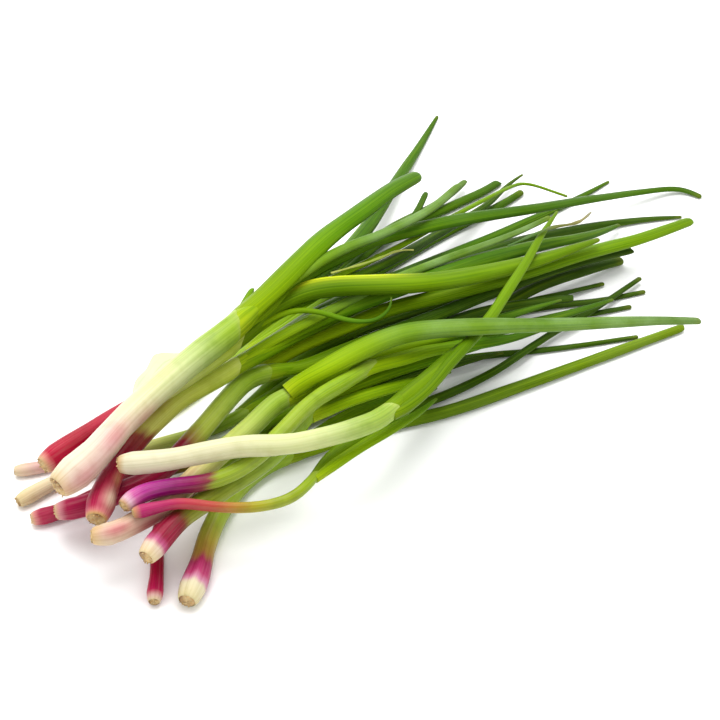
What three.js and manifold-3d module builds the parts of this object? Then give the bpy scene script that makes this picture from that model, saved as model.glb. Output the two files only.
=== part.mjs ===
// A bunch of fresh red spring onions, roots trimmed, laid down in a loose heap on a flat surface.
// Millimetres, +Z up, +X along the bunch from the root ends to the leaf tips, the surface at Z = 0.
// Each onion has a stem (root plate, bulb and outer sheath, grown as one) and leaves: flattened tubes
// grown together on a neck, whose foot stands in the mouth of the sheath.
import * as THREE from "three";
import { mergeVertices } from "three/addons/utils/BufferGeometryUtils.js";
import Module from "manifold-3d";

const wasm = await Module();
wasm.setup();

// The photograph's view, in which the routes below are read: a long lens looking down at the heap.
const PICTURE = 720; // pixels on each side
const LENS = 2140; // focal length in pixels
const DISTANCE = 900; // from the lens to the middle of the surface
const LOOK_DOWN = THREE.MathUtils.degToRad(45);
const BUNCH_HEADING = THREE.MathUtils.degToRad(34); // the bunch's long way, turned from the view's right
const MIDDLE = [1.7, 24.5]; // the box's middle on the surface, from the point that the lens looks at

const SAMPLE = 4; // between two points of a route
const FINE = 20; // steps of a smoothed route between two of its pixels
const HALFWAY_UP = 8; // the height in the heap at which a route of pixels is measured
const START_HEIGHT = 4; // of every point before it is laid
const GAP = 0.55; // clear space kept between two onions
const PRESS = 0.92; // how far a stem settles on the surface, as a share of its half height
const SHANK_BEND = 1 / 420; // the tightest bend of a shank in height
const LEAF_BEND = 1 / 230; // and of a leaf
const SETTLING = 34; // passes between the heights and the places they are seen at
const RISING = 12; // the last of them, in which points only rise
const RISE = 0.35; // the share of their way up that they take in each of those
const SLIPPING = 10; // passes in which a stem slips off the side of another
const SLIP = 0.62; // which it does where it is further than this share off the other's middle
const ASIDE = 3; // the furthest that a point steps aside for that
const EVEN = 3; // points on either side that step with it
const NECK_POINTS = 7; // points over which a leaf frees itself from its stem's place
const FUSED = 30; // the leaves of an onion are grown together this far from their neck
const APART = 100; // and lie free of each other from here
const SHANK_SIDES = 10;
const LEAF_SIDES = 8;
const MOUTH = 6; // depth of a sheath's mouth
const SEAT = 0.35; // clear space round a foot in its mouth
const WALL = 0.26; // a sheath's wall, as a share of its radius
const NECK = 22; // how far a neck stands out of the shank
// The rings of a neck: radius as a share of the shank's, and place as a share of NECK.
const NECK_RINGS = [[0.93, 0], [0.84, 0.45], [0.5, 0.9], [0, 1]];
const LEAF_START = 5; // where the leaves begin inside the neck, from the shank's mouth
const BULB_RINGS = [0, 0.35, 1, 2.2]; // rings of a bulb, in radii from the plate
const STEM_STEP = 15; // between two rings of a shank
const LEAF_STEP = 17; // and of a leaf
const PLATE = 0.62; // the root plate's radius, as a share of the bulb's
const SWELL = 1.3; // a bulb is full at this many of its radii from the plate
const TAPER = 4; // and turns into the shank over this many
const NECK_FLAT = 0.92; // a leaf's thickness over its width at the neck
const LEAF_FLAT = 0.66; // and beyond the flattening stretch
const FLATTENING = 30; // the length of that stretch
const LEAF_FOOT = 0.88; // a leaf's half width at the neck, as a share of the shank's radius
const WIDENING = 0.25; // the share of a leaf's length over which it widens
const CUT_END = 0.66; // a cut leaf's width at its end, as a share of its greatest
const TIP_END = 0.24; // and a pointed leaf's, before the tip
const CUT_MOUTH = 0.72; // the hollow in a cut end, as a share of the end's half width
const CUT_DEPTH = 5; // depth of the hollow in a cut leaf's end

const WHITE = 0xe9e6c4;
const PINK = 0xdda7a4;
const RED = 0xa3235a;
const PALE_GREEN = 0xb9cf6a;
const GREEN = 0x5f9a1c;
const DARK_GREEN = 0x3f7420;

// In the order in which they are laid. Routes are pixels of the photograph, from the root plate to
// the sheath's mouth and from there along each leaf; bulb and shank are radii, wide is a leaf's
// greatest width, and end its width at the end, as a share, where it narrows evenly.
const ONIONS = [
  {
    bulb: 2.7, shank: 2.5, skin: PINK, green: GREEN,
    stem: [[15, 471], [50, 465], [90, 448], [130, 432], [170, 410], [205, 385], [235, 360]],
    leaves: [
      {
        wide: 6.2, cut: true,
        to: [
          [280, 322], [330, 277], [380, 238], [445, 209], [484, 191], [500, 181],
        ],
      },
      {
        wide: 5.0, cut: true,
        to: [
          [285, 316], [340, 266], [390, 229], [430, 208], [452, 193], [465, 181],
        ],
      },
      { wide: 4.2, cut: true, to: [[272, 332], [330, 284], [380, 243], [411, 220], [426, 193]] },
      {
        wide: 6.8, end: 0.52,
        to: [
          [288, 328], [345, 290], [397, 260], [440, 236], [474, 219], [506, 202], [520, 193],
        ],
      },
    ],
  },
  {
    bulb: 3.2, shank: 2.9, skin: WHITE, green: DARK_GREEN,
    stem: [[18, 502], [53, 483], [100, 466], [150, 447], [190, 436], [228, 422]],
    leaves: [
      {
        wide: 7.0, end: 0.34,
        to: [
          [262, 402], [300, 378], [350, 353], [420, 331], [500, 314], [550, 306], [597, 301],
          [643, 292],
        ],
      },
      {
        wide: 6.0, end: 0.4,
        to: [
          [257, 403], [300, 382], [345, 367], [410, 346], [500, 328], [560, 318], [597, 313],
          [629, 307],
        ],
      },
      {
        wide: 7.2, cut: true,
        to: [
          [258, 398], [296, 363], [350, 333], [410, 312], [480, 293], [530, 285], [556, 275],
        ],
      },
    ],
  },
  {
    bulb: 3.2, shank: 2.7, skin: RED, green: DARK_GREEN,
    stem: [[154, 602], [157, 572], [157, 548], [160, 526], [173, 505], [196, 484], [226, 460], [257, 438]],
    leaves: [
      {
        wide: 5.0, end: 0.42,
        to: [
          [300, 412], [360, 384], [420, 367], [475, 357], [544, 350], [590, 344], [636, 337],
        ],
      },
      { wide: 5.6, to: [[292, 426], [340, 404], [395, 384], [440, 369], [475, 359], [502, 353]] },
    ],
  },
  {
    bulb: 3.4, shank: 3.0, skin: RED, green: DARK_GREEN,
    stem: [[32, 519], [62, 511], [95, 496], [125, 481], [160, 471], [195, 461], [227, 443]],
    leaves: [
      {
        wide: 5.4, end: 0.4,
        to: [
          [270, 412], [340, 375], [420, 345], [480, 320], [521, 303], [564, 293], [602, 284],
        ],
      },
      {
        wide: 8.4, end: 0.6,
        to: [
          [275, 418], [345, 383], [420, 352], [480, 320], [532, 289], [586, 270], [618, 261],
        ],
      },
      {
        wide: 6.2, cut: true,
        to: [
          [280, 405], [345, 365], [415, 335], [480, 312], [530, 303], [574, 298],
        ],
      },
    ],
  },
  {
    bulb: 5.2, shank: 4.1, skin: WHITE, green: GREEN,
    stem: [[187, 601], [199, 571], [207, 541], [220, 512], [240, 485], [270, 462]],
    leaves: [
      {
        wide: 6.2, cut: true,
        to: [
          [309, 450], [345, 438], [383, 427], [452, 410], [521, 386], [590, 361], [684, 327],
        ],
      },
      {
        wide: 4.8, end: 0.5,
        to: [
          [315, 446], [360, 429], [400, 412], [438, 398], [470, 384], [500, 368], [525, 351],
          [556, 331], [590, 312], [639, 279],
        ],
      },
      { wide: 6.6, cut: true, to: [[312, 438], [350, 415], [395, 397], [436, 386]] },
    ],
  },
  {
    bulb: 4.2, shank: 4.4, skin: PALE_GREEN, green: GREEN,
    stem: [[56, 512], [88, 505], [118, 493], [145, 482], [172, 462], [202, 430], [231, 396], [250, 378]],
    leaves: [
      {
        wide: 6.6, cut: true,
        to: [
          [280, 371], [306, 366], [360, 345], [430, 319], [500, 292], [575, 266], [635, 251],
        ],
      },
      {
        wide: 8.0, cut: true,
        to: [
          [275, 361], [302, 346], [351, 327], [392, 311], [440, 299], [521, 276], [560, 263],
          [600, 250], [640, 239], [691, 221],
        ],
      },
    ],
  },
  {
    bulb: 5.6, shank: 4.3, skin: RED, green: GREEN,
    stem: [[96, 519], [103, 497], [115, 470], [133, 446], [151, 426], [180, 400], [208, 384], [225, 374]],
    leaves: [
      {
        wide: 6.4,
        to: [
          [262, 350], [310, 317], [370, 288], [430, 263], [480, 243], [520, 225], [560, 207],
          [586, 194], [608, 182],
        ],
      },
      {
        wide: 7.2,
        to: [
          [264, 353], [330, 320], [400, 288], [470, 260], [520, 244], [560, 234], [600, 226],
          [640, 220], [680, 217],
        ],
      },
      {
        wide: 8.6,
        to: [
          [246, 361], [272, 345], [302, 328], [340, 312], [400, 290], [467, 267], [532, 250],
          [575, 242], [600, 235], [618, 227],
        ],
      },
      {
        wide: 5.4, end: 0.5,
        to: [
          [258, 351], [320, 318], [380, 288], [440, 264], [480, 250], [515, 237], [548, 222],
        ],
      },
    ],
  },
  {
    bulb: 5.0, shank: 4.3, skin: RED, green: GREEN,
    stem: [[43, 466], [62, 453], [92, 433], [130, 411], [163, 392], [195, 372], [226, 350]],
    leaves: [
      {
        wide: 7.0,
        to: [
          [252, 331], [290, 303], [325, 273], [350, 249], [372, 222], [394, 186], [418, 149],
          [437, 117],
        ],
      },
      {
        wide: 5.2,
        to: [
          [257, 328], [320, 294], [390, 262], [440, 233], [484, 207], [508, 185], [522, 175],
        ],
      },
      {
        wide: 3.8, end: 0.4,
        to: [
          [258, 322], [325, 284], [395, 250], [450, 219], [490, 198], [510, 188], [527, 184],
          [566, 196],
        ],
      },
      {
        wide: 10.4,
        to: [
          [248, 333], [272, 309], [303, 293], [335, 287], [380, 285], [420, 283], [465, 277],
          [535, 261], [597, 240],
        ],
      },
      {
        wide: 8.8, end: 0.3,
        to: [
          [252, 322], [290, 288], [316, 268], [345, 254], [380, 239], [460, 222], [532, 211],
          [597, 200], [640, 193], [678, 189], [699, 196],
        ],
      },
      {
        wide: 2.8,
        to: [
          [268, 322], [296, 311], [323, 313], [350, 321], [376, 321], [391, 308], [392, 298],
        ],
      },
    ],
  },
  {
    bulb: 6.9, shank: 5.8, skin: WHITE, green: GREEN,
    stem: [[58, 487], [92, 458], [119, 428], [147, 401], [177, 375], [207, 351], [232, 332]],
    leaves: [
      {
        wide: 5.4, cut: true,
        to: [
          [254, 313], [302, 275], [342, 251], [386, 233], [430, 210], [460, 185],
        ],
      },
      {
        wide: 10.2, cut: true,
        to: [
          [246, 317], [277, 288], [324, 241], [366, 209], [392, 190], [418, 176],
        ],
      },
      { wide: 3.4, cut: true, to: [[242, 313], [255, 289]] },
    ],
  },
  {
    bulb: 4.4, shank: 4.5, skin: PINK, green: GREEN,
    stem: [
      [93, 536], [115, 533], [136, 522], [160, 509], [182, 490], [205, 468], [227, 449], [249, 430],
      [278, 403],
    ],
    leaves: [
      {
        wide: 6.4,
        to: [
          [306, 391], [339, 373], [375, 355], [415, 345], [450, 337], [500, 330], [560, 316],
          [612, 300],
        ],
      },
      {
        wide: 10.2, end: 0.38, late: true,
        to: [
          [300, 385], [343, 360], [381, 342], [415, 332], [480, 327], [557, 325], [650, 321],
          [697, 321],
        ],
      },
    ],
  },
  {
    bulb: 4.8, shank: 4.2, skin: RED, green: GREEN,
    stem: [
      [145, 557], [157, 542], [170, 527], [186, 513], [208, 499], [234, 482], [264, 462], [288, 439],
      [300, 422],
    ],
    leaves: [
      {
        wide: 7.2,
        to: [
          [318, 405], [346, 390], [380, 376], [415, 365], [450, 355], [488, 346],
        ],
      },
      { wide: 5.8, to: [[322, 413], [350, 401], [390, 389], [425, 380], [450, 373]] },
    ],
  },
  {
    bulb: 3.6, shank: 3.3, skin: RED, green: GREEN,
    stem: [
      [124, 507], [142, 494], [170, 487], [200, 484], [230, 475], [259, 456], [283, 431], [312, 402],
      [344, 382],
    ],
    leaves: [
      { wide: 6.8, to: [[370, 367], [403, 358], [432, 349], [470, 344], [505, 339], [538, 331]] },
      { wide: 5.2, to: [[366, 362], [400, 348], [440, 337], [500, 318], [560, 300]] },
    ],
  },
  {
    bulb: 2.7, shank: 2.1, skin: RED, green: GREEN,
    stem: [[133, 513], [155, 508], [180, 503], [217, 507], [256, 507], [289, 499], [309, 483]],
    leaves: [
      { wide: 6.0, to: [[328, 460], [352, 443], [380, 427], [408, 407], [430, 388], [445, 372]] },
      { wide: 5.0, to: [[336, 463], [362, 446], [390, 430], [418, 413], [436, 399]] },
    ],
  },
  {
    bulb: 4.5, shank: 4.2, skin: WHITE, green: GREEN,
    stem: [
      [119, 464], [145, 462], [172, 459], [207, 452], [243, 446], [290, 444], [337, 434], [362, 426],
      [379, 419],
    ],
    leaves: [
      { wide: 7.4, cut: true, to: [[400, 402], [428, 378], [449, 359], [468, 343]] },
      {
        wide: 5.2,
        to: [
          [402, 410], [427, 390], [448, 365], [470, 341], [490, 318], [507, 292], [527, 261],
          [541, 236], [557, 212],
        ],
      },
    ],
  },
];

const clamp01 = (value) => Math.min(1, Math.max(0, value));
const ease = (value) => value * value * (3 - 2 * value);
const mix = (from, to, share) => from + (to - from) * share;

// The point of the surface's frame, at height z, that the photograph shows at a pixel.
function seenAt([u, v], z) {
  const across = (u - PICTURE / 2) / LENS;
  const up = (PICTURE / 2 - v) / LENS;
  const away = Math.cos(LOOK_DOWN) + up * Math.sin(LOOK_DOWN);
  const down = Math.sin(LOOK_DOWN) - up * Math.cos(LOOK_DOWN);
  const reach = (DISTANCE * Math.sin(LOOK_DOWN) - z) / down;
  const x = reach * across - MIDDLE[0];
  const y = reach * away - DISTANCE * Math.cos(LOOK_DOWN) - MIDDLE[1];
  const [c, s] = [Math.cos(BUNCH_HEADING), Math.sin(BUNCH_HEADING)];
  return [x * c + y * s, y * c - x * s];
}

// A smooth line of pixels through the points from index first on, with a point every SAMPLE mm.
function smoothPixels(points, first = 0) {
  const fine = [];
  const last = points.length - 1;
  for (let i = first; i < last; i++) {
    const [p0, p1, p2, p3] = [i - 1, i, i + 1, i + 2].map((k) => points[Math.min(last, Math.max(0, k))]);
    for (let k = 0; k < FINE; k++) {
      const t = k / FINE;
      fine.push([0, 1].map((c) =>
        p1[c] + 0.5 * t * (p2[c] - p0[c] + t * (2 * p0[c] - 5 * p1[c] + 4 * p2[c] - p3[c]
          + t * (3 * (p1[c] - p2[c]) + p3[c] - p0[c])))));
    }
  }
  fine.push(points[last]);
  const along = lengths(fine.map((p) => seenAt(p, HALFWAY_UP)).map(([x, y]) => ({ x, y })));
  const count = Math.max(3, Math.round(along.at(-1) / SAMPLE));
  return Array.from({ length: count + 1 }, (_, n) => {
    const s = (along.at(-1) * n) / count;
    const k = Math.max(1, along.findIndex((value) => value >= s - 1e-9));
    const share = (s - along[k - 1]) / (along[k] - along[k - 1]);
    return [mix(fine[k - 1][0], fine[k][0], share), mix(fine[k - 1][1], fine[k][1], share)];
  });
}

// The distance along a line at each of its points, as seen from above.
function lengths(points) {
  const along = [0];
  for (let i = 1; i < points.length; i++) {
    along.push(along[i - 1] + Math.hypot(points[i].x - points[i - 1].x, points[i].y - points[i - 1].y));
  }
  return along;
}

// The lowest heights over the supports whose bends, up and down, stay under the given curvature.
function drape(along, supports, bend) {
  const half = along.map((_, i) => (typeof bend === "number" ? bend : bend[i]) / 2);
  const capped = along.map((s, i) =>
    Math.max(...supports.map((z, j) => z - Math.max(half[i], half[j]) * (s - along[j]) ** 2)));
  const sag = Math.max(...half);
  const flat = along.map((s, i) => [s, capped[i] - sag * s * s]);
  const hull = [];
  for (const p of flat) {
    while (hull.length > 1) {
      const [a, b] = hull.slice(-2);
      if ((b[0] - a[0]) * (p[1] - a[1]) - (b[1] - a[1]) * (p[0] - a[0]) < 0) break;
      hull.pop();
    }
    hull.push(p);
  }
  let k = 0;
  return along.map((s) => {
    while (k < hull.length - 2 && hull[k + 1][0] < s) k++;
    const [a, b] = [hull[k], hull[k + 1]];
    return mix(a[1], b[1], (s - a[0]) / (b[0] - a[0])) + sag * s * s;
  });
}

// The laid lines that come under or beside a point with those half sizes: off is 0 over a line's
// middle and 1 where the two just pass, lift the height between the middles when one lies on the other.
function contacts({ x, y }, wide, thick, laid) {
  const found = [];
  laid.forEach((line, number) => {
    for (let i = 1; i < line.length; i++) {
      const [p, q] = [line[i - 1], line[i]];
      const near = wide + Math.max(p.wide, q.wide) + GAP + 2 * SAMPLE;
      if (Math.abs(x - p.x) > near || Math.abs(y - p.y) > near) continue;
      const [dx, dy] = [q.x - p.x, q.y - p.y];
      const t = clamp01(((x - p.x) * dx + (y - p.y) * dy) / (dx * dx + dy * dy));
      const away = [x - p.x - t * dx, y - p.y - t * dy];
      const reach = wide + mix(p.wide, q.wide, t) + GAP;
      const off = Math.hypot(...away) / reach;
      if (off < 1) {
        const lift = thick + mix(p.thick, q.thick, t) + GAP;
        found.push({ number, z: mix(p.z, q.z, t), off, lift, away: away.map((v) => off ? v / off : 0) });
      }
    }
  });
  return found;
}

// The lowest height over the surface and over each contact that is not passed beside.
function lowest(thick, found, slip, share = 1) {
  const lifted = found.filter(({ off }) => off < slip);
  return Math.max(
    thick * PRESS,
    ...lifted.map(({ z, off, lift }) => z + lift * share * Math.sqrt(1 - off * off)),
  );
}

// How far a point at a height has to step aside to pass beside its contacts.
function sidestep(height, found, slip) {
  const closest = new Map();
  for (const contact of found) {
    if (contact.off < (closest.get(contact.number)?.off ?? 1)) closest.set(contact.number, contact);
  }
  const step = [0, 0];
  for (const { z, off, lift, away } of closest.values()) {
    const rise = Math.min(1, Math.abs(height - z) / lift);
    const need = Math.sqrt(1 - rise * rise) - off;
    if (off >= slip && need > 0) away.forEach((v, axis) => (step[axis] += v * need));
  }
  return step;
}

// The radius of an onion's bulb and shank at a distance from its root plate.
function stemRadius(onion, s) {
  const foot = onion.bulb * mix(PLATE, 1, Math.sqrt(clamp01(s / (onion.bulb * SWELL))));
  const body = mix(onion.bulb, onion.shank, ease(clamp01((s - onion.bulb) / (TAPER * onion.bulb))));
  return Math.min(foot, body);
}

// A leaf's half width at a share of its length from the neck.
function leafHalfWidth(leaf, shank, t) {
  const most = leaf.wide / 2;
  const low = Math.min(most, shank * LEAF_FOOT);
  if (t < WIDENING) return mix(low, most, ease(t / WIDENING));
  const out = (t - WIDENING) / (1 - WIDENING);
  if (leaf.end) return most * mix(1, leaf.end, out);
  return most * (leaf.cut ? mix(1, CUT_END, out ** 2) : mix(1, TIP_END, out ** 3));
}

// A leaf's thickness over its width, at a distance from the shank's mouth.
const leafFlatness = (s) => mix(NECK_FLAT, LEAF_FLAT, ease(clamp01(s / FLATTENING)));

// An onion before it is laid: the points of its stem and of each of its leaves.
function loosen(onion) {
  const point = (pixel) => ({ pixel, z: START_HEIGHT, aside: [0, 0] });
  const pixels = smoothPixels([...onion.stem, onion.leaves[0].to[0]]);
  const stem = pixels.slice(0, nearest(pixels, onion.stem.at(-1)) + 1).map(point);
  const leaves = onion.leaves.map((leaf) =>
    smoothPixels([...onion.stem.slice(-2), ...leaf.to], 1).slice(1).map(point));
  return { onion, stem, leaves, lines: [] };
}

// Sets a point's half sizes, what it lies on, and its step aside.
function measure(p, wide, thick, others, slip, eager) {
  p.wide = wide;
  p.thick = thick;
  const found = contacts(p, wide, thick, others);
  p.low = lowest(thick, found, slip);
  const step = sidestep(p.z, found, slip);
  p.wish = p.aside.map((v, axis) => v + step[axis] * eager);
}

// Moves the points aside as they wish, evenly along their line and never by more than ASIDE.
function stepAside(points) {
  points.forEach((p, i) => {
    const near = points.slice(Math.max(0, i - EVEN), i + EVEN + 1);
    const [x, y] = [0, 1].map((axis) => near.reduce((sum, q) => sum + q.wish[axis], 0) / near.length);
    const share = Math.min(1, ASIDE / Math.max(1e-6, Math.hypot(x, y)));
    p.aside = [x * share, y * share];
  });
}

// How far a pass moves the points, as a share.
const eagerness = (pass) => 1 / (1 + pass / 3);

// A point's height after one more pass.
function settled(z, wanted, pass) {
  if (pass < SETTLING - RISING) return mix(z, wanted, eagerness(pass));
  return z + Math.max(0, wanted - z) * (pass < SETTLING ? RISE : 1);
}

// Lays the chosen leaves of an onion on the heap, and its stem with the first of them: finds their
// heights, and their places from the pixels at those heights.
function lay(whole, heap, chosen) {
  const { onion, stem, leaves, lines } = whole;
  const others = heap.filter((other) => other !== whole).flatMap((other) => other.lines);
  const stemLies = lines.length > 0;
  const loose = [...(stemLies ? [] : [stem]), ...chosen.map((k) => leaves[k])].flat();
  for (let pass = 0; pass <= SETTLING; pass++) {
    const moves = pass < SETTLING;
    const slip = pass < SLIPPING ? SLIP : 1;
    const eager = eagerness(pass);
    if (moves) {
      loose.forEach((p) => ([p.x, p.y] = seenAt(p.pixel, p.z).map((v, axis) => v + p.aside[axis])));
    }
    if (!stemLies) {
      const along = lengths(stem);
      const radius = stem.map((_, i) => stemRadius(onion, along[i]));
      stem.forEach((p, i) => measure(p, radius[i], radius[i], others, slip, eager));
      stepAside(stem);
    }
    const stemLows = stem.map((p) => (stemLies ? p.z : p.low));
    const rods = chosen.map((k) => {
      const leaf = leaves[k];
      const siblings = [...lines.slice(1), ...leaves.filter((_, j) => j < k && chosen.includes(j))];
      const out = lengths([stem.at(-1), ...leaf]).slice(1);
      leaf.forEach((p, i) => {
        const wide = leafHalfWidth(onion.leaves[k], onion.shank, out[i] / out.at(-1));
        const thick = wide * leafFlatness(out[i]);
        measure(p, wide, thick, others, slip, eager);
        const apart = ease(clamp01((out[i] - FUSED) / (APART - FUSED)));
        p.free = Math.max(p.low, apart && lowest(thick, contacts(p, wide, thick, siblings), 1, apart));
      });
      stepAside(leaf);
      leaf.slice(0, NECK_POINTS).forEach((p, i) => {
        const freed = ease((i + 1) / (NECK_POINTS + 1));
        p.aside = p.aside.map((v, axis) => mix(stem.at(-1).aside[axis], v, freed));
      });
      const bend = [...stem.map(() => SHANK_BEND), ...leaf.map(() => LEAF_BEND)];
      return { leaf, bend, along: lengths([...stem, ...leaf]) };
    });
    const heights = rods.map(({ leaf, bend, along }) =>
      drape(along, [...stemLows, ...leaf.map((p) => p.low)], bend));
    const stemZ = stemLies ? stemLows : stem.map((_, i) => Math.max(...heights.map((z) => z[i])));
    rods.forEach(({ leaf, bend, along }) => {
      const z = drape(along, [...stemZ, ...leaf.map((p) => p.free)], bend);
      const step = stemZ.at(-1) - z[stem.length - 1];
      leaf.forEach((p, i) => {
        const freed = ease(clamp01((i + 1) / (NECK_POINTS + 1)));
        p.z = settled(p.z, z[stem.length + i] + step * (1 - freed), pass);
      });
    });
    if (!stemLies) stem.forEach((p, i) => (p.z = settled(p.z, stemZ[i], pass)));
  }
  if (!stemLies) lines.push(stem);
  lines.push(...chosen.map((k) => [stem.at(-1), ...leaves[k]]));
}

function nearest(pixels, target) {
  const off = pixels.map(([u, v]) => Math.hypot(u - target[0], v - target[1]));
  return off.indexOf(Math.min(...off));
}

// A route through laid points: gives the place and the cross axes at a distance along it.
function routeOf(points) {
  const at = points.map((p) => new THREE.Vector3(p.x, p.y, p.z));
  const along = [0];
  for (let i = 1; i < at.length; i++) along.push(along[i - 1] + at[i].distanceTo(at[i - 1]));
  const place = (s) => {
    const k = Math.min(at.length - 1, Math.max(1, along.findIndex((value) => value >= s)));
    const segment = s >= along.at(-1) ? at.length - 1 : k;
    const share = (s - along[segment - 1]) / (along[segment] - along[segment - 1]);
    return new THREE.Vector3().lerpVectors(at[segment - 1], at[segment], share);
  };
  const frame = (s) => {
    const tangent = place(s + SAMPLE).sub(place(s - SAMPLE)).normalize();
    const side = new THREE.Vector3().crossVectors(tangent, new THREE.Vector3(0, 0, 1)).normalize();
    return { centre: place(s), side, up: new THREE.Vector3().crossVectors(side, tangent) };
  };
  return { length: along.at(-1), frame };
}

// A lathed profile of [radius, distance along the route], bent along the route. flatness is the
// section's thickness over its width at a distance. No point goes under the surface.
function bentLathe(profile, sides, route, flatness = () => 1) {
  const outline = profile.map(([r, s]) => new THREE.Vector2(r, s));
  const geometry = new THREE.LatheGeometry(outline, sides, Math.PI / sides);
  const position = geometry.getAttribute("position");
  for (let i = 0; i < position.count; i++) {
    const s = position.getY(i);
    const { centre, side, up } = route.frame(s);
    const point = centre
      .addScaledVector(side, position.getX(i))
      .addScaledVector(up, position.getZ(i) * flatness(s));
    position.setXYZ(i, point.x, point.y, Math.max(0, point.z));
  }
  return geometry;
}

function toSolid(geometry) {
  geometry.deleteAttribute("normal");
  geometry.deleteAttribute("uv");
  const merged = mergeVertices(geometry, 1e-4);
  return new wasm.Manifold(new wasm.Mesh({
    numProp: 3,
    vertProperties: merged.getAttribute("position").array,
    triVerts: new Uint32Array(dropFlat(merged.index.array)),
  }));
}

// Triangles on the axis have two merged corners, and are left out.
function dropFlat(index) {
  const kept = [];
  for (let i = 0; i < index.length; i += 3) {
    const [a, b, c] = index.slice(i, i + 3);
    if (a !== b && b !== c && c !== a) kept.push(a, b, c);
  }
  return kept;
}

function toMesh(name, solid, color, roughness) {
  const { numProp, numVert, vertProperties, triVerts } = solid.getMesh();
  const position = new Float32Array(numVert * 3);
  for (let i = 0; i < numVert; i++) {
    position.set(vertProperties.subarray(i * numProp, i * numProp + 3), i * 3);
  }
  const geometry = new THREE.BufferGeometry()
    .setAttribute("position", new THREE.BufferAttribute(position, 3))
    .setIndex(new THREE.BufferAttribute(triVerts, 1));
  const mesh = new THREE.Mesh(geometry, new THREE.MeshStandardMaterial({ color, roughness, metalness: 0 }));
  mesh.name = name;
  return mesh;
}

// Evenly spread distances from one value to another, no further apart than the step.
function spread(from, to, step) {
  const count = Math.max(1, Math.ceil((to - from) / step));
  return Array.from({ length: count + 1 }, (_, n) => mix(from, to, n / count));
}

// A mouth in the end of a sheath of that radius: its lip, wall and floor.
const mouthProfile = (radius, end) => [
  [radius * (1 - WALL), end],
  [radius * (1 - WALL), end - MOUTH],
  [0, end - MOUTH],
];

// The foot that stands in such a mouth.
const footProfile = (radius, start) => [
  [0, start - MOUTH + SEAT],
  [radius * (1 - WALL) - SEAT, start - MOUTH + SEAT],
  [radius * (1 - WALL) - SEAT, start + SEAT],
];

function stemSolid({ onion, stem, leaves }) {
  const route = routeOf([...stem, ...leaves[0].slice(0, 3)]);
  const { bulb } = onion;
  const end = routeOf(stem).length;
  const stations = [...BULB_RINGS.map((share) => share * bulb), ...spread(bulb * TAPER, end, STEM_STEP)];
  const profile = [
    [0, 0],
    ...stations.map((s) => [stemRadius(onion, s), s]),
    ...mouthProfile(stemRadius(onion, end), end),
  ];
  return toSolid(bentLathe(profile, SHANK_SIDES, route));
}

function leavesSolid({ onion, stem, leaves }) {
  const tail = stem.slice(-4);
  const tailLength = routeOf(tail).length;
  const neckRoute = routeOf([...tail, ...leaves[0]]);
  const round = onion.shank;
  const neck = [
    ...footProfile(round, tailLength),
    ...NECK_RINGS.map(([radius, out]) => [round * radius, tailLength + SEAT + NECK * out]),
  ];
  let solid = toSolid(bentLathe(neck, SHANK_SIDES, neckRoute));
  leaves.forEach((points, k) => {
    const leaf = onion.leaves[k];
    const route = routeOf([...tail, ...points]);
    const start = tailLength + LEAF_START;
    const reach = route.length - tailLength;
    const half = (s) => leafHalfWidth(leaf, round, clamp01((s - tailLength) / reach));
    const flatness = (s) => leafFlatness(s - tailLength);
    const end = route.length;
    const inner = half(end) * CUT_MOUTH;
    const tip = leaf.cut
      ? [[inner, end], [inner, end - CUT_DEPTH], [0, end - CUT_DEPTH]]
      : [[0, end + half(end)]];
    const profile = [
      [0, start],
      ...spread(start, end, LEAF_STEP).map((s) => [half(s), s]),
      ...tip,
    ];
    solid = solid.add(toSolid(bentLathe(profile, LEAF_SIDES, route, flatness)));
  });
  return solid;
}

// The whole heap: every onion in turn, and last the leaves that lie over later onions.
const heap = [];
for (const onion of ONIONS) {
  const whole = loosen(onion);
  heap.push(whole);
  lay(whole, heap, [...onion.leaves.keys()].filter((k) => !onion.leaves[k].late));
}
for (const whole of heap) {
  const late = [...whole.leaves.keys()].filter((k) => whole.onion.leaves[k].late);
  if (late.length) lay(whole, heap, late);
}

const bunch = new THREE.Group();
heap.forEach((whole, i) => {
  const number = String(i + 1).padStart(2, "0");
  bunch.add(
    toMesh(`stem_${number}`, stemSolid(whole), whole.onion.skin, 0.4),
    toMesh(`leaves_${number}`, leavesSolid(whole), whole.onion.green, 0.5),
  );
});

export default bunch;
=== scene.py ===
import math
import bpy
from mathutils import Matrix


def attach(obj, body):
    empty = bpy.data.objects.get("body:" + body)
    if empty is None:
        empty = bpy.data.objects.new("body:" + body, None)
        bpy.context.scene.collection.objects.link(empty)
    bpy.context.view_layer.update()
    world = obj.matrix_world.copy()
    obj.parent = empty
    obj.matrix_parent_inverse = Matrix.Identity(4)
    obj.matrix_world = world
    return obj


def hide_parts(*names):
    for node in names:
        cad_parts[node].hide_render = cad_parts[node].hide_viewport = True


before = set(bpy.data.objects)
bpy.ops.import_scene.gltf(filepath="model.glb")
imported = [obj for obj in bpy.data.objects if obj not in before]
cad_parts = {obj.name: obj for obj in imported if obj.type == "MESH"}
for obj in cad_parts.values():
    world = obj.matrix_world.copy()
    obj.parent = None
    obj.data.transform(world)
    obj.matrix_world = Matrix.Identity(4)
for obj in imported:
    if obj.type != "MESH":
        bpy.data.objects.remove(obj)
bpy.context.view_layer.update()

from types import SimpleNamespace

import bpy
import numpy as np
from mathutils import Vector

# A bunch of fresh red spring onions, roots trimmed, in a loose heap. Lengths are in millimetres up to
# the meshes, which are in metres, as the frame is: +X along the bunch, the surface at Z = 0.
MM = 0.001

# The photograph's view: a long lens looking down at the heap.
PICTURE = 720  # pixels on each side
LENS = 2140  # focal length in pixels
DISTANCE = 900
LOOK_DOWN = math.radians(45)
BUNCH_HEADING = math.radians(34)
MIDDLE = np.array([1.7, 24.5])

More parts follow.
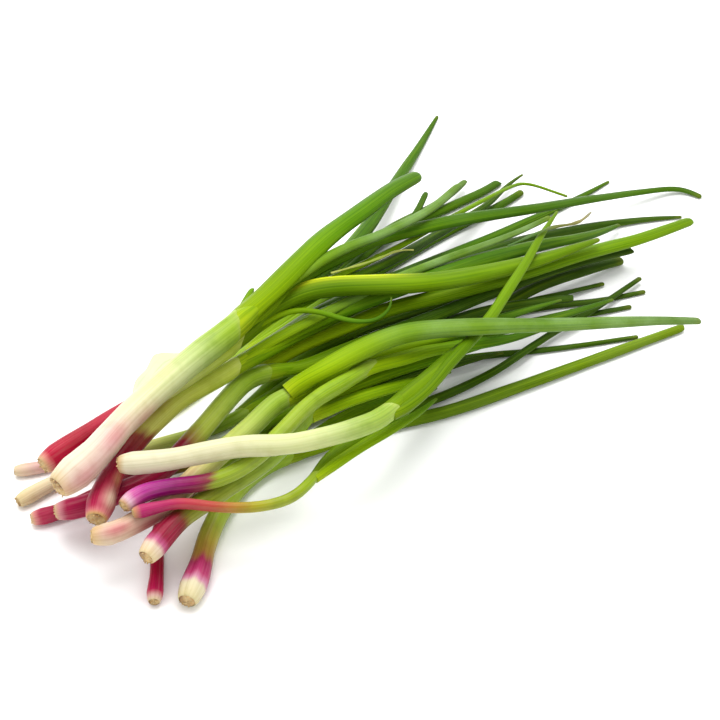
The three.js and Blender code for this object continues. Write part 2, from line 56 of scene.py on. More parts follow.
# How the onions are laid.
SAMPLE = 4
FINE = 20
HALFWAY_UP = 8
START_HEIGHT = 4
GAP = 0.55
PRESS = 0.92
SHANK_BEND = 1 / 420
LEAF_BEND = 1 / 230
SETTLING = 34
RISING = 12
RISE = 0.35
SLIPPING = 10
SLIP = 0.62
ASIDE = 3
EVEN = 3
NECK_POINTS = 7
FUSED = 30
APART = 100

# Their forms.
LEAF_START = 5
NECK = 22
NECK_RINGS = np.array([(0, 0.93), (0.45, 0.84), (0.9, 0.5), (1, 0.02)])
PLATE = 0.62
SWELL = 1.3
TAPER = 4
NECK_FLAT = 0.92
LEAF_FLAT = 0.66
FLATTENING = 30
LEAF_FOOT = 0.88
WIDENING = 0.25
CUT_END = 0.66
TIP_END = 0.24
CUT_DEPTH = 5

# Loose dry strands on the heap: their pixels, half width and colours.
STRAND_BEND = 1 / 60
STRANDS = [
    ([(331, 273), (356, 266), (372, 261), (387, 255), (399, 250), (415, 250)], 0.75,
     [(150, 156, 60), (126, 146, 40), (166, 166, 80)]),
    ([(508, 246), (526, 238), (542, 231), (556, 226), (566, 225), (575, 224), (585, 218), (591, 212)], 0.9,
     [(60, 100, 20), (70, 106, 20), (96, 100, 30), (126, 118, 60), (120, 116, 80)]),
]
WINGED = 9  # the onion with a papery wing, and the wing's edges in pixels
WING_INNER = [(138, 408), (150, 396), (164, 382), (180, 368), (200, 352)]
WING_OUTER = [(128, 403), (135, 384), (146, 367), (157, 354), (180, 352), (194, 351)]


def blade(wide, tone, to, **marks):
    """A leaf: its greatest width, its tone, its route from the sheath's mouth and what marks it."""
    return dict(wide=wide, tone=tone, to=to, **marks)


# In the order in which they are laid. Routes are pixels of the photograph, from the root plate to the
# sheath's mouth and from there along each leaf; bulb and shank are radii. The stops are the colours of
# the skin at distances from the root plate, streak is how far they run in streaks and mouth how green
# the sheath turns at its mouth. Also: blushes (distance, degrees round, size, colour, strength), edges
# of outer layers (distance, slant, turn, step) and the sheath's thin end, its collar (reach, slant, turn).
ONIONS = [
    dict(
        bulb=2.7, shank=2.5, skin="pink_stem", green="green_leaf",
        stem=[(15, 471), (50, 465), (90, 448), (130, 432), (170, 410), (205, 385), (235, 360)],
        stops=[(0, (236, 214, 176)), (8, (236, 200, 190)), (22, (222, 136, 152)), (45, (212, 112, 136)),
            (66, (206, 180, 120)), (80, (198, 208, 120)), (105, (172, 200, 70))],
        edges=[(14, 5, 1.0, 0.2)],
        leaves=[
            blade(6.2, "mid", [(280, 322), (330, 277), (380, 238), (445, 209), (484, 191),
                (500, 181)], cut=True),
            blade(5.0, "waxy", [(285, 316), (340, 266), (390, 229), (430, 208), (452, 193),
                (465, 181)], cut=True),
            blade(4.2, "mid", [(272, 332), (330, 284), (380, 243), (411, 220), (426, 193)], cut=True),
            blade(6.8, "mid", [(288, 328), (345, 290), (397, 260), (440, 236), (474, 219), (506, 202),
                (520, 193)], end=0.52),
        ],
    ),
    dict(
        bulb=3.2, shank=2.9, skin="white_stem", green="dark_leaf",
        stem=[(18, 502), (53, 483), (100, 466), (150, 447), (190, 436), (228, 422)],
        stops=[(0, (236, 216, 166)), (12, (238, 222, 184)), (35, (230, 214, 164)), (60, (204, 212, 116)),
            (95, (170, 196, 66))],
        edges=[(18, 6, 2.0, 0.2)],
        leaves=[
            blade(7.0, "dark", [(262, 402), (300, 378), (350, 353), (420, 331), (500, 314), (550, 306),
                (597, 301), (643, 292)], end=0.34),
            blade(6.0, "dark", [(257, 403), (300, 382), (345, 367), (410, 346), (500, 328), (560, 318),
                (597, 313), (629, 307)], end=0.4),
            blade(7.2, "dark", [(258, 398), (296, 363), (350, 333), (410, 312), (480, 293), (530, 285),
                (556, 275)], cut=True),
        ],
    ),
    dict(
        bulb=3.2, shank=2.7, skin="red_stem", green="dark_leaf",
        stem=[(154, 602), (157, 572), (157, 548), (160, 526), (173, 505), (196, 484), (226, 460),
            (257, 438)],
        stops=[(0, (238, 214, 172)), (1.5, (236, 190, 180)), (3.5, (206, 30, 92)), (12, (184, 2, 60)),
            (40, (156, 2, 50)), (58, (126, 30, 36)), (74, (160, 176, 44)), (110, (150, 180, 40))],
        streak=2.0,
        leaves=[
            blade(5.0, "dark", [(300, 412), (360, 384), (420, 367), (475, 357), (544, 350), (590, 344),
                (636, 337)], end=0.42),
            blade(5.6, "dark", [(292, 426), (340, 404), (395, 384), (440, 369), (475, 359), (502, 353)]),
        ],
    ),
    dict(
        bulb=3.4, shank=3.0, skin="red_stem", green="dark_leaf",
        stem=[(32, 519), (62, 511), (95, 496), (125, 481), (160, 471), (195, 461), (227, 443)],
        stops=[(0, (232, 190, 150)), (1.5, (226, 140, 140)), (3.5, (190, 24, 80)), (30, (158, 4, 54)),
            (60, (116, 4, 32)), (72, (140, 80, 40)), (82, (160, 176, 56)), (105, (150, 180, 40))],
        streak=2.5,
        leaves=[
            blade(5.4, "dark", [(270, 412), (340, 375), (420, 345), (480, 320), (521, 303), (564, 293),
                (602, 284)], end=0.4),
            blade(8.4, "dark", [(275, 418), (345, 383), (420, 352), (480, 320), (532, 289), (586, 270),
                (618, 261)], end=0.6),
            blade(6.2, "dark", [(280, 405), (345, 365), (415, 335), (480, 312), (530, 303),
                (574, 298)], cut=True),
        ],
    ),
    dict(
        bulb=5.2, shank=4.1, skin="white_stem", green="green_leaf",
        stem=[(187, 601), (199, 571), (207, 541), (220, 512), (240, 485), (270, 462)],
        stops=[(0, (236, 222, 170)), (6, (238, 228, 190)), (8, (222, 150, 180)), (11, (196, 60, 116)),
            (17, (170, 40, 90)), (21, (176, 130, 60)), (27, (184, 160, 60)), (40, (176, 196, 64)),
            (80, (170, 196, 60)), (140, (150, 184, 36))],
        streak=2.0,
        leaves=[
            blade(6.2, "olive", [(309, 450), (345, 438), (383, 427), (452, 410), (521, 386), (590, 361),
                (684, 327)], cut=True),
            blade(4.8, "dark", [(315, 446), (360, 429), (400, 412), (438, 398), (470, 384), (500, 368),
                (525, 351), (556, 331), (590, 312), (639, 279)], end=0.5),
            blade(6.6, "mid", [(312, 438), (350, 415), (395, 397), (436, 386)], cut=True),
        ],
    ),
    dict(
        bulb=4.2, shank=4.4, skin="pale_green_stem", green="green_leaf",
        stem=[(56, 512), (88, 505), (118, 493), (145, 482), (172, 462), (202, 430), (231, 396), (250, 378)],
        stops=[(0, (224, 186, 140)), (2, (226, 150, 160)), (4.5, (180, 20, 78)), (35, (148, 4, 54)),
            (58, (122, 8, 40)), (70, (176, 190, 70)), (100, (190, 210, 90)), (130, (170, 196, 60))],
        streak=2.5,
        leaves=[
            blade(6.6, "dark", [(280, 371), (306, 366), (360, 345), (430, 319), (500, 292), (575, 266),
                (635, 251)], cut=True),
            blade(8.0, "lime", [(275, 361), (302, 346), (351, 327), (392, 311), (440, 299), (521, 276),
                (560, 263), (600, 250), (640, 239), (691, 221)], cut=True),
        ],
    ),
    dict(
        bulb=5.6, shank=4.3, skin="red_stem", green="green_leaf",
        stem=[(96, 519), (103, 497), (115, 470), (133, 446), (151, 426), (180, 400), (208, 384),
            (225, 374)],
        # From 50 mm on these stops are lighter than the sheath's own pale green, and mouth keeps it from
        # greening: painted light that offsets the shade where onion 9 lies over it.
        stops=[(0, (228, 186, 120)), (1.5, (224, 120, 130)), (3.5, (196, 24, 84)), (20, (178, 12, 62)),
            (34, (150, 8, 46)), (44, (160, 70, 60)), (50, (232, 232, 116)), (90, (228, 238, 96)),
            (130, (216, 234, 70))],
        mouth=0.15, streak=3, blush=[(8, 40, 5, (246, 226, 196), 0.8), (19, 36, 4, (226, 180, 120), 0.5)],
        edges=[(16, 7, 2.6, 0.3)], collar=(4, 2.5, 1.6),
        leaves=[
            blade(6.4, "mid", [(262, 350), (310, 317), (370, 288), (430, 263), (480, 243), (520, 225),
                (560, 207), (586, 194), (608, 182)]),
            blade(7.2, "dark", [(264, 353), (330, 320), (400, 288), (470, 260), (520, 244), (560, 234),
                (600, 226), (640, 220), (680, 217)]),
            blade(8.6, "mid", [(246, 361), (272, 345), (302, 328), (340, 312), (400, 290), (467, 267),
                (532, 250), (575, 242), (600, 235), (618, 227)]),
            blade(5.4, "waxy", [(258, 351), (320, 318), (380, 288), (440, 264), (480, 250), (515, 237),
                (548, 222)], end=0.5),
        ],
    ),
    dict(
        bulb=5.0, shank=4.3, skin="red_stem", green="green_leaf",
        stem=[(43, 466), (62, 453), (92, 433), (130, 411), (163, 392), (195, 372), (226, 350)],
        # From 60 mm on these stops are lighter than the sheath's own pale green, and mouth keeps it from
        # greening: painted light that offsets the shade the sheath lies in.
        stops=[(0, (224, 190, 140)), (2, (224, 140, 130)), (4, (196, 24, 64)), (16, (182, 2, 50)),
            (45, (186, 6, 56)), (54, (212, 130, 110)), (60, (236, 238, 160)), (76, (228, 236, 124)),
            (92, (220, 234, 80))],
        mouth=0.2, blush=[(22, -30, 8, (156, 6, 44), 0.5), (34, 40, 8, (212, 50, 92), 0.5)],
        collar=(8, 5, 2.2),
        leaves=[
            blade(7.0, "mid", [(252, 331), (290, 303), (325, 273), (350, 249), (372, 222), (394, 186),
                (418, 149), (437, 117)]),
            blade(5.2, "dark", [(257, 328), (320, 294), (390, 262), (440, 233), (484, 207), (508, 185),
                (522, 175)]),
            blade(3.8, "lime", [(258, 322), (325, 284), (395, 250), (450, 219), (490, 198), (510, 188),
                (527, 184), (566, 196)], end=0.4),
            blade(10.4, "shaded_neck", [(248, 333), (272, 309), (303, 293), (335, 287), (380, 285), (420, 283),
                (465, 277), (535, 261), (597, 240)], edge=(16, 100, 124, (214, 220, 44))),
            blade(8.8, "mid", [(252, 322), (290, 288), (316, 268), (345, 254), (380, 239), (460, 222),
                (532, 211), (597, 200), (640, 193), (678, 189), (699, 196)], end=0.3),
            blade(2.8, "mid", [(268, 322), (296, 311), (323, 313), (350, 321), (376, 321), (391, 308),
                (392, 298)]),
        ],
    ),
    dict(
        bulb=6.9, shank=5.8, skin="white_stem", green="green_leaf",
        stem=[(58, 487), (92, 458), (119, 428), (147, 401), (177, 375), (207, 351), (232, 332)],
        stops=[(0, (236, 210, 160)), (5, (246, 234, 208)), (25, (244, 232, 212)), (45, (238, 232, 190)),
            (60, (228, 232, 172)), (84, (216, 230, 158)), (102, (198, 220, 104))],
        blush=[(28, 42, 9, (222, 100, 128), 0.6), (9, 20, 9, (214, 96, 120), 0.6),
        (44, 0, 8, (220, 110, 130), 0.45)], edges=[(24, 12, 0.4, 0.25)], collar=(6, 4, 3.0),
        leaves=[
            blade(5.4, "waxy", [(254, 313), (302, 275), (342, 251), (386, 233), (430, 210),
                (460, 185)], cut=True),
            blade(10.2, "fresh", [(246, 317), (277, 288), (324, 241), (366, 209), (392, 190),
                (418, 176)], cut=True),
            blade(3.4, "fresh", [(242, 313), (255, 289)], cut=True),
        ],
    ),
    dict(
        bulb=4.4, shank=4.5, skin="pink_stem", green="green_leaf",
        stem=[(93, 536), (115, 533), (136, 522), (160, 509), (182, 490), (205, 468), (227, 449), (249, 430),
            (278, 403)],
        stops=[(0, (230, 198, 140)), (5, (240, 218, 188)), (25, (238, 206, 176)), (45, (230, 204, 150)),
            (66, (206, 214, 110)), (110, (200, 216, 116)), (170, (186, 208, 90))],
        blush=[(9, 60, 6, (206, 60, 104), 0.65), (23, 0, 8, (186, 24, 76), 0.75),
        (38, 60, 7, (214, 110, 110), 0.5)], edges=[(9, 3, 1.5, 0.2)], collar=(5, 3, 3.0),
        leaves=[
            blade(6.4, "mid", [(306, 391), (339, 373), (375, 355), (415, 345), (450, 337), (500, 330),
                (560, 316), (612, 300)]),
            blade(10.2, "waxy", [(300, 385), (343, 360), (381, 342), (415, 332), (480, 327), (557, 325),
                (650, 321), (697, 321)], late=True, end=0.38),
        ],
    ),
    dict(
        bulb=4.8, shank=4.2, skin="red_stem", green="green_leaf",
        stem=[(145, 557), (157, 542), (170, 527), (186, 513), (208, 499), (234, 482), (264, 462),
            (288, 439), (300, 422)],
        stops=[(0, (242, 220, 170)), (4, (238, 214, 190)), (6, (204, 90, 140)), (9, (160, 8, 60)),
            (17, (140, 6, 44)), (20, (130, 50, 34)), (24, (146, 150, 40)), (70, (150, 180, 50)),
            (110, (176, 200, 80)), (140, (150, 180, 50))],
        streak=2, collar=(6, 4, 0.5),
        leaves=[
            blade(7.2, "fresh", [(318, 405), (346, 390), (380, 376), (415, 365), (450, 355), (488, 346)]),
            blade(5.8, "mid", [(322, 413), (350, 401), (390, 389), (425, 380), (450, 373)]),
        ],
    ),
    dict(
        bulb=3.6, shank=3.3, skin="red_stem", green="green_leaf",
        stem=[(124, 507), (142, 494), (170, 487), (200, 484), (230, 475), (259, 456), (283, 431),
            (312, 402), (344, 382)],
        stops=[(0, (212, 170, 110)), (2, (236, 196, 210)), (5, (212, 90, 166)), (9, (186, 44, 146)),
            (18, (160, 20, 124)), (28, (150, 16, 92)), (34, (150, 60, 70)), (38, (164, 188, 50)),
            (80, (166, 190, 56)), (150, (146, 184, 24))],
        streak=2.5, collar=(9, 6, 1.2),
        leaves=[
            blade(6.8, "mid", [(370, 367), (403, 358), (432, 349), (470, 344), (505, 339), (538, 331)]),
            blade(5.2, "mid", [(366, 362), (400, 348), (440, 337), (500, 318), (560, 300)]),
        ],
    ),
    dict(
        bulb=2.7, shank=2.1, skin="red_stem", green="green_leaf",
        stem=[(133, 513), (155, 508), (180, 503), (217, 507), (256, 507), (289, 499), (309, 483)],
        stops=[(0, (210, 160, 110)), (3, (190, 36, 110)), (12, (184, 30, 96)), (20, (194, 56, 76)),
            (30, (190, 78, 62)), (38, (184, 130, 52)), (46, (184, 164, 44)), (56, (182, 174, 76)),
            (63, (160, 110, 60)), (68, (166, 120, 60)), (74, (166, 184, 70)), (80, (150, 178, 50))],
        streak=2,
        leaves=[
            blade(6.0, "shaded_neck", [(328, 460), (352, 443), (380, 427), (408, 407), (430, 388), (445, 372)]),
            blade(5.0, "mid", [(336, 463), (362, 446), (390, 430), (418, 413), (436, 399)]),
        ],
    ),
    dict(
        bulb=4.5, shank=4.2, skin="white_stem", green="green_leaf",
        stem=[(119, 464), (145, 462), (172, 459), (207, 452), (243, 446), (290, 444), (337, 434),
            (362, 426), (379, 419)],
        stops=[(0, (222, 186, 130)), (3, (238, 230, 198)), (40, (236, 232, 188)), (70, (226, 232, 164)),
            (100, (216, 228, 158)), (125, (200, 216, 124))],
        streak=4, edges=[(60, 20, 1.0, 0.2)], collar=(5, 3, 0.6),
        leaves=[
            blade(7.4, "shaded_neck", [(400, 402), (428, 378), (449, 359), (468, 343)], cut=True),
            blade(5.2, "shaded_neck", [(402, 410), (427, 390), (448, 365), (470, 341), (490, 318), (507, 292),
                (527, 261), (541, 236), (557, 212)]),
        ],
    ),
]


def clamp01(value):
    return np.clip(value, 0, 1)


def ease(value):
    value = clamp01(value)
    return value * value * (3 - 2 * value)


def mix(a, b, share):
    return a + (b - a) * share


def lengths(points):
    """The distance along a line at each of its points."""
    steps = np.linalg.norm(np.diff(points, axis=0), axis=1)
    return np.concatenate([[0], np.cumsum(steps)])


def seen_at(pixels, z):
    """The points at heights z that the photograph shows at the pixels."""
    pixels = np.asarray(pixels, float)
    across = (pixels[..., 0] - PICTURE / 2) / LENS
    up = (PICTURE / 2 - pixels[..., 1]) / LENS
    away = math.cos(LOOK_DOWN) + up * math.sin(LOOK_DOWN)
    down = math.sin(LOOK_DOWN) - up * math.cos(LOOK_DOWN)
    reach = (DISTANCE * math.sin(LOOK_DOWN) - z) / down
    x = reach * across - MIDDLE[0]
    y = reach * away - DISTANCE * math.cos(LOOK_DOWN) - MIDDLE[1]
    c, s = math.cos(BUNCH_HEADING), math.sin(BUNCH_HEADING)
    return np.stack([x * c + y * s, y * c - x * s], -1)


def smooth_pixels(points, first=0):
    """A smooth line through the points from index first on, with a point every SAMPLE."""
    points = np.array(points, float)
    last = len(points) - 1
    t = (np.arange(FINE) / FINE)[:, None]
    fine = []
    for i in range(first, last):
        p0, p1, p2, p3 = (points[min(last, max(0, k))] for k in (i - 1, i, i + 1, i + 2))
        cubic = 2 * p0 - 5 * p1 + 4 * p2 - p3 + t * (3 * (p1 - p2) + p3 - p0)
        fine.append(p1 + 0.5 * t * (p2 - p0 + t * cubic))
    fine = np.vstack([*fine, points[last:]])
    along = lengths(seen_at(fine, HALFWAY_UP))
    count = max(3, math.floor(along[-1] / SAMPLE + 0.5))
    s = along[-1] * np.arange(count + 1) / count
    return np.column_stack([np.interp(s, along, fine[:, axis]) for axis in range(2)])


def drape(along, supports, bend):
    """The lowest heights over the supports whose bends stay under the given curvatures."""
    half = bend / 2
    apart = (along[:, None] - along[None]) ** 2
    capped = (supports[None] - np.maximum(half[:, None], half[None]) * apart).max(1)
    sag = half.max()
    flat = capped - sag * along**2
    hull = []
    for p in zip(along, flat):
        while len(hull) > 1:
            a, b = hull[-2:]
            if (b[0] - a[0]) * (p[1] - a[1]) - (b[1] - a[1]) * (p[0] - a[0]) < 0:
                break
            hull.pop()
        hull.append(p)
    s, z = np.array(hull).T
    return np.interp(along, s, z) + sag * along**2


def contacts(strand, wide, thick, line):
    """Each point of a strand against each segment of a line: the line's height there, how far off its
    middle the point is (1 where the two just pass), the height between the middles of the two when
    one lies on the other, and the way to step aside."""
    start, step = line.xy[:-1], np.diff(line.xy, axis=0)
    to = strand.xy[:, None] - start[None]
    t = clamp01((to * step).sum(2) / (step**2).sum(1))
    away = to - t[..., None] * step
    reach = wide[:, None] + line.wide[:-1] + np.diff(line.wide) * t + GAP
    lift = thick[:, None] + line.thick[:-1] + np.diff(line.thick) * t + GAP
    z = line.z[:-1] + np.diff(line.z) * t
    off = np.hypot(away[..., 0], away[..., 1]) / reach
    return z, off, lift, away / np.maximum(off, 1e-9)[..., None]


def near(strand, wide, line):
    """Whether a line comes close enough to a strand to touch it."""
    room = wide.max() + line.wide.max() + GAP
    low, high = strand.xy.min(0) - room, strand.xy.max(0) + room
    return bool(np.all(line.xy.max(0) >= low) and np.all(line.xy.min(0) <= high))


def lowest(thick, found, slip, share=1.0):
    """The lowest heights over the surface and over each contact that isn't passed beside."""
    low = thick * PRESS
    for z, off, lift, _ in found:
        rise = lift * np.reshape(share, (-1, 1)) * np.sqrt(np.maximum(0, 1 - off * off))
        low = np.maximum(low, np.where(off < slip, z + rise, -1e9).max(1))
    return low


def sidestep(height, found, slip):
    """How far points at their heights have to step aside to pass beside their contacts."""
    total = np.zeros((len(height), 2))
    for z, off, lift, away in found:
        row = np.arange(len(height))
        k = off.argmin(1)
        off, z, lift, away = off[row, k], z[row, k], lift[row, k], away[row, k]
        rise = np.minimum(1, np.abs(height - z) / lift)
        need = np.sqrt(1 - rise * rise) - off
        total += away * np.where((off < 1) & (off >= slip) & (need > 0), need, 0)[:, None]
    return total


def stem_radius(onion, s):
    bulb, shank = onion["bulb"], onion["shank"]
    foot = bulb * mix(PLATE, 1, np.sqrt(clamp01(s / (bulb * SWELL))))
    body = mix(bulb, shank, ease((s - bulb) / (TAPER * bulb)))
    return np.minimum(foot, body)


def leaf_half_width(leaf, shank, t):
    most = leaf["wide"] / 2
    low = min(most, shank * LEAF_FOOT)
    out = np.maximum(0, t - WIDENING) / (1 - WIDENING)
    if "end" in leaf:
        share = mix(1, leaf["end"], out)
    else:
        share = mix(1, CUT_END, out**2) if leaf.get("cut") else mix(1, TIP_END, out**3)
    return np.where(t < WIDENING, mix(low, most, ease(t / WIDENING)), most * share)


def leaf_flatness(s):
    return mix(NECK_FLAT, LEAF_FLAT, ease(s / FLATTENING))


def nearest(pixels, target):
    return int(np.hypot(*(pixels - target).T).argmin())


def strand_of(pixels):
    count = len(pixels)
    return SimpleNamespace(pixel=pixels, z=np.full(count, float(START_HEIGHT)), aside=np.zeros((count, 2)))


def joined(stem, leaf):
    """A leaf's line from the last point of its stem on."""
    ends = {key: np.concatenate([getattr(stem, key)[-1:], getattr(leaf, key)])
            for key in ("xy", "z", "wide", "thick")}
    return SimpleNamespace(**ends)


def loosen(onion):
    """An onion before it is laid."""
    pixels = smooth_pixels([*onion["stem"], onion["leaves"][0]["to"][0]])
    stem = strand_of(pixels[: nearest(pixels, onion["stem"][-1]) + 1])
    leaves = [strand_of(smooth_pixels([*onion["stem"][-2:], *leaf["to"]], 1)[1:]) for leaf in onion["leaves"]]
    return SimpleNamespace(onion=onion, stem=stem, leaves=leaves, lines=[])


def measure(strand, wide, thick, others, slip, eager):
    """Sets a strand's half sizes, what it lies on, and its steps aside."""
    strand.wide, strand.thick = wide, thick
    found = [contacts(strand, wide, thick, line) for line in others if near(strand, wide, line)]
    strand.low = lowest(thick, found, slip)
    wish = strand.aside + sidestep(strand.z, found, slip) * eager
    count = len(wish)
    evened = np.array([wish[max(0, i - EVEN) : i + EVEN + 1].mean(0) for i in range(count)])
    share = np.minimum(1, ASIDE / np.maximum(1e-6, np.hypot(*evened.T)))
    strand.aside = evened * share[:, None]


def settled(z, wanted, count):
    """A strand's heights after one more pass: near the end they only rise."""
    if count < SETTLING - RISING:
        return mix(z, wanted, 1 / (1 + count / 3))
    return z + np.maximum(0, wanted - z) * (RISE if count < SETTLING else 1)


def lay(whole, heap, chosen):
    """Lays the chosen leaves of an onion on the heap, and its stem with the first of them."""
    onion, stem, leaves, lines = whole.onion, whole.stem, whole.leaves, whole.lines
    others = [line for other in heap if other is not whole for line in other.lines]
    stem_lies = len(lines) > 0
    loose = [*([] if stem_lies else [stem]), *(leaves[k] for k in chosen)]
    for count in range(SETTLING + 1):
        moves = count < SETTLING
        slip = SLIP if count < SLIPPING else 1
        eager = 1 / (1 + count / 3)
        if moves:
            for strand in loose:
                strand.xy = seen_at(strand.pixel, strand.z) + strand.aside
        if not stem_lies:
            radius = stem_radius(onion, lengths(stem.xy))
            measure(stem, radius, radius, others, slip, eager)
        stem_low = stem.z if stem_lies else stem.low
        rods = []
        for k in chosen:
            leaf = leaves[k]
            siblings = [*lines[1:], *(leaves[j] for j in chosen if j < k)]
            out = lengths(np.vstack([stem.xy[-1:], leaf.xy]))[1:]
            wide = leaf_half_width(onion["leaves"][k], onion["shank"], out / out[-1])
            thick = wide * leaf_flatness(out)
            measure(leaf, wide, thick, others, slip, eager)
            apart = ease((out - FUSED) / (APART - FUSED))
            found = [contacts(leaf, wide, thick, line) for line in siblings]
            free = np.where(apart > 0, lowest(thick, found, 1, apart), 0)
            leaf.free = np.maximum(leaf.low, free)
            freed = ease(np.arange(1, NECK_POINTS + 1) / (NECK_POINTS + 1))[: len(out), None]
            leaf.aside[:NECK_POINTS] = mix(stem.aside[-1], leaf.aside[:NECK_POINTS], freed)
            bend = np.array([SHANK_BEND] * len(stem.z) + [LEAF_BEND] * len(leaf.z))
            rods.append((leaf, bend, lengths(np.vstack([stem.xy, leaf.xy]))))
        heights = [drape(s, np.concatenate([stem_low, leaf.low]), bend) for leaf, bend, s in rods]
        stem_z = stem_low if stem_lies else np.max([z[: len(stem.z)] for z in heights], 0)
        for leaf, bend, s in rods:
            z = drape(s, np.concatenate([stem_z, leaf.free]), bend)
            step = stem_z[-1] - z[len(stem_z) - 1]
            freed = ease(np.arange(1, len(leaf.z) + 1) / (NECK_POINTS + 1))
            z = z[len(stem_z) :] + step * (1 - freed)
            leaf.z = settled(leaf.z, z, count)
        if not stem_lies:
            stem.z = settled(stem.z, stem_z, count)
    if not stem_lies:
        lines.append(stem)
    lines.extend(joined(stem, leaves[k]) for k in chosen)


heap = []
for onion in ONIONS:
    whole = loosen(onion)
    heap.append(whole)
    lay(whole, heap, [k for k, leaf in enumerate(onion["leaves"]) if not leaf.get("late")])
for whole in heap:
    late = [k for k, leaf in enumerate(whole.onion["leaves"]) if leaf.get("late")]
    if late:
        lay(whole, heap, late)

# Fine forms round the laid lines.
STEM_RING = 1.0  # between two rings of a fine stem
LEAF_RING = 1.6
STEM_SIDES = 40
LEAF_SIDES = 24
LINE_STEP = 0.5  # between two points of a smoothed line
LINE_SMOOTH = 3.0  # how far a line is smoothed
SEED = 41
LEAF_SHADE = np.array([0.66, 0.56, 0.42])  # how far the tones below darken under this light
STEM_SHADE = 0.72
GREENING = 36  # how far below its mouth a sheath turns green
SHEATH = 0.2  # thickness of a sheath's ragged end
WALL = 0.55  # thickness of a sheath at its mouth and of a leaf at its cut end
MOUTH_GREEN = (150, 186, 24)
RIM_PALE = (206, 218, 120)
MOUTH_INSIDE = (170, 196, 80)
PLATE_TAN = (232, 200, 140)
PLATE_BROWN = (124, 62, 14)
TIP_DRY = (112, 116, 40)

# Where an onion's entry doesn't say otherwise.
STREAK = 4
MOUTH = 0.85
COLLAR = (5, 3, 1.0)


def linear(colour):
    """A colour of the photograph, 0 to 255, as linear light."""
    c = np.array(colour, float) / 255
    return np.where(c <= 0.04045, c / 12.92, ((c + 0.055) / 1.055) ** 2.4)


def points_of(strand):
    return np.column_stack([strand.xy, strand.z])


class Route:
    """A smooth line through laid points, read by the distance along it."""

    def __init__(self, points):
        corners = lengths(points)
        self.length = corners[-1]
        room = 6 * LINE_SMOOTH
        self.s = np.arange(-room, self.length + room, LINE_STEP)
        first = (points[0] - points[1]) / corners[1]
        last = (points[-1] - points[-2]) / (corners[-1] - corners[-2])
        line = np.column_stack([np.interp(self.s, corners, points[:, axis]) for axis in range(3)])
        line += np.outer(np.maximum(0, -self.s), first) + np.outer(np.maximum(0, self.s - self.length), last)
        reach = int(3 * LINE_SMOOTH / LINE_STEP)
        weight = np.exp(-0.5 * (np.arange(-reach, reach + 1) * LINE_STEP / LINE_SMOOTH) ** 2)
        weight /= weight.sum()
        for axis in range(3):
            line[reach:-reach, axis] = np.convolve(line[:, axis], weight, "valid")
        self.line = line
        tangent = np.gradient(line, axis=0)
        self.tangent = tangent / np.linalg.norm(tangent, axis=1)[:, None]

    def read(self, table, s):
        return np.stack([np.interp(s, self.s, table[:, axis]) for axis in range(3)], -1)

    def frame(self, s):
        tangent = self.read(self.tangent, s)
        tangent /= np.linalg.norm(tangent, axis=-1)[..., None]
        side = np.cross(tangent, [0, 0, 1])
        side /= np.linalg.norm(side, axis=-1)[..., None]
        return self.read(self.line, s), side, np.cross(side, tangent), tangent

    def around(self, s, angle, across, over, shift=0):
        """Points at distances s, at angles round the line, that far across it and over it."""
        centre, side, up, tangent = self.frame(np.asarray(s, float))
        if centre.ndim == 2:
            centre, side, up, tangent = (v[:, None] for v in (centre, side, up, tangent))
        x = np.asarray(across) * np.cos(angle)
        y = np.asarray(over) * np.sin(angle)
        points = centre + side * x[..., None] + up * y[..., None]
        points = points + tangent * np.broadcast_to(shift, x.shape)[..., None]
        points[..., 2] = np.maximum(points[..., 2], 0)
        return points


def ripple(angle, seed, count=5):
    """A seeded wave round a stem, about -1 to 1."""
    dice = np.random.default_rng(seed)
    phase, weight = dice.uniform(0, 2 * math.pi, count), dice.uniform(0.4, 1, count)
    waves = [w / (k + 1) ** 0.5 * np.cos((k + 1) * angle + p) for k, (w, p) in enumerate(zip(weight, phase))]
    return np.sum(waves, 0) / 1.6


def blended(stops, s):
    """The colour at distances s between stops of (distance, colour)."""
    places = [stop[0] for stop in stops]
    colours = np.array([linear(stop[1]) for stop in stops])
    return np.stack([np.interp(s, places, colours[:, c]) for c in range(3)], -1)


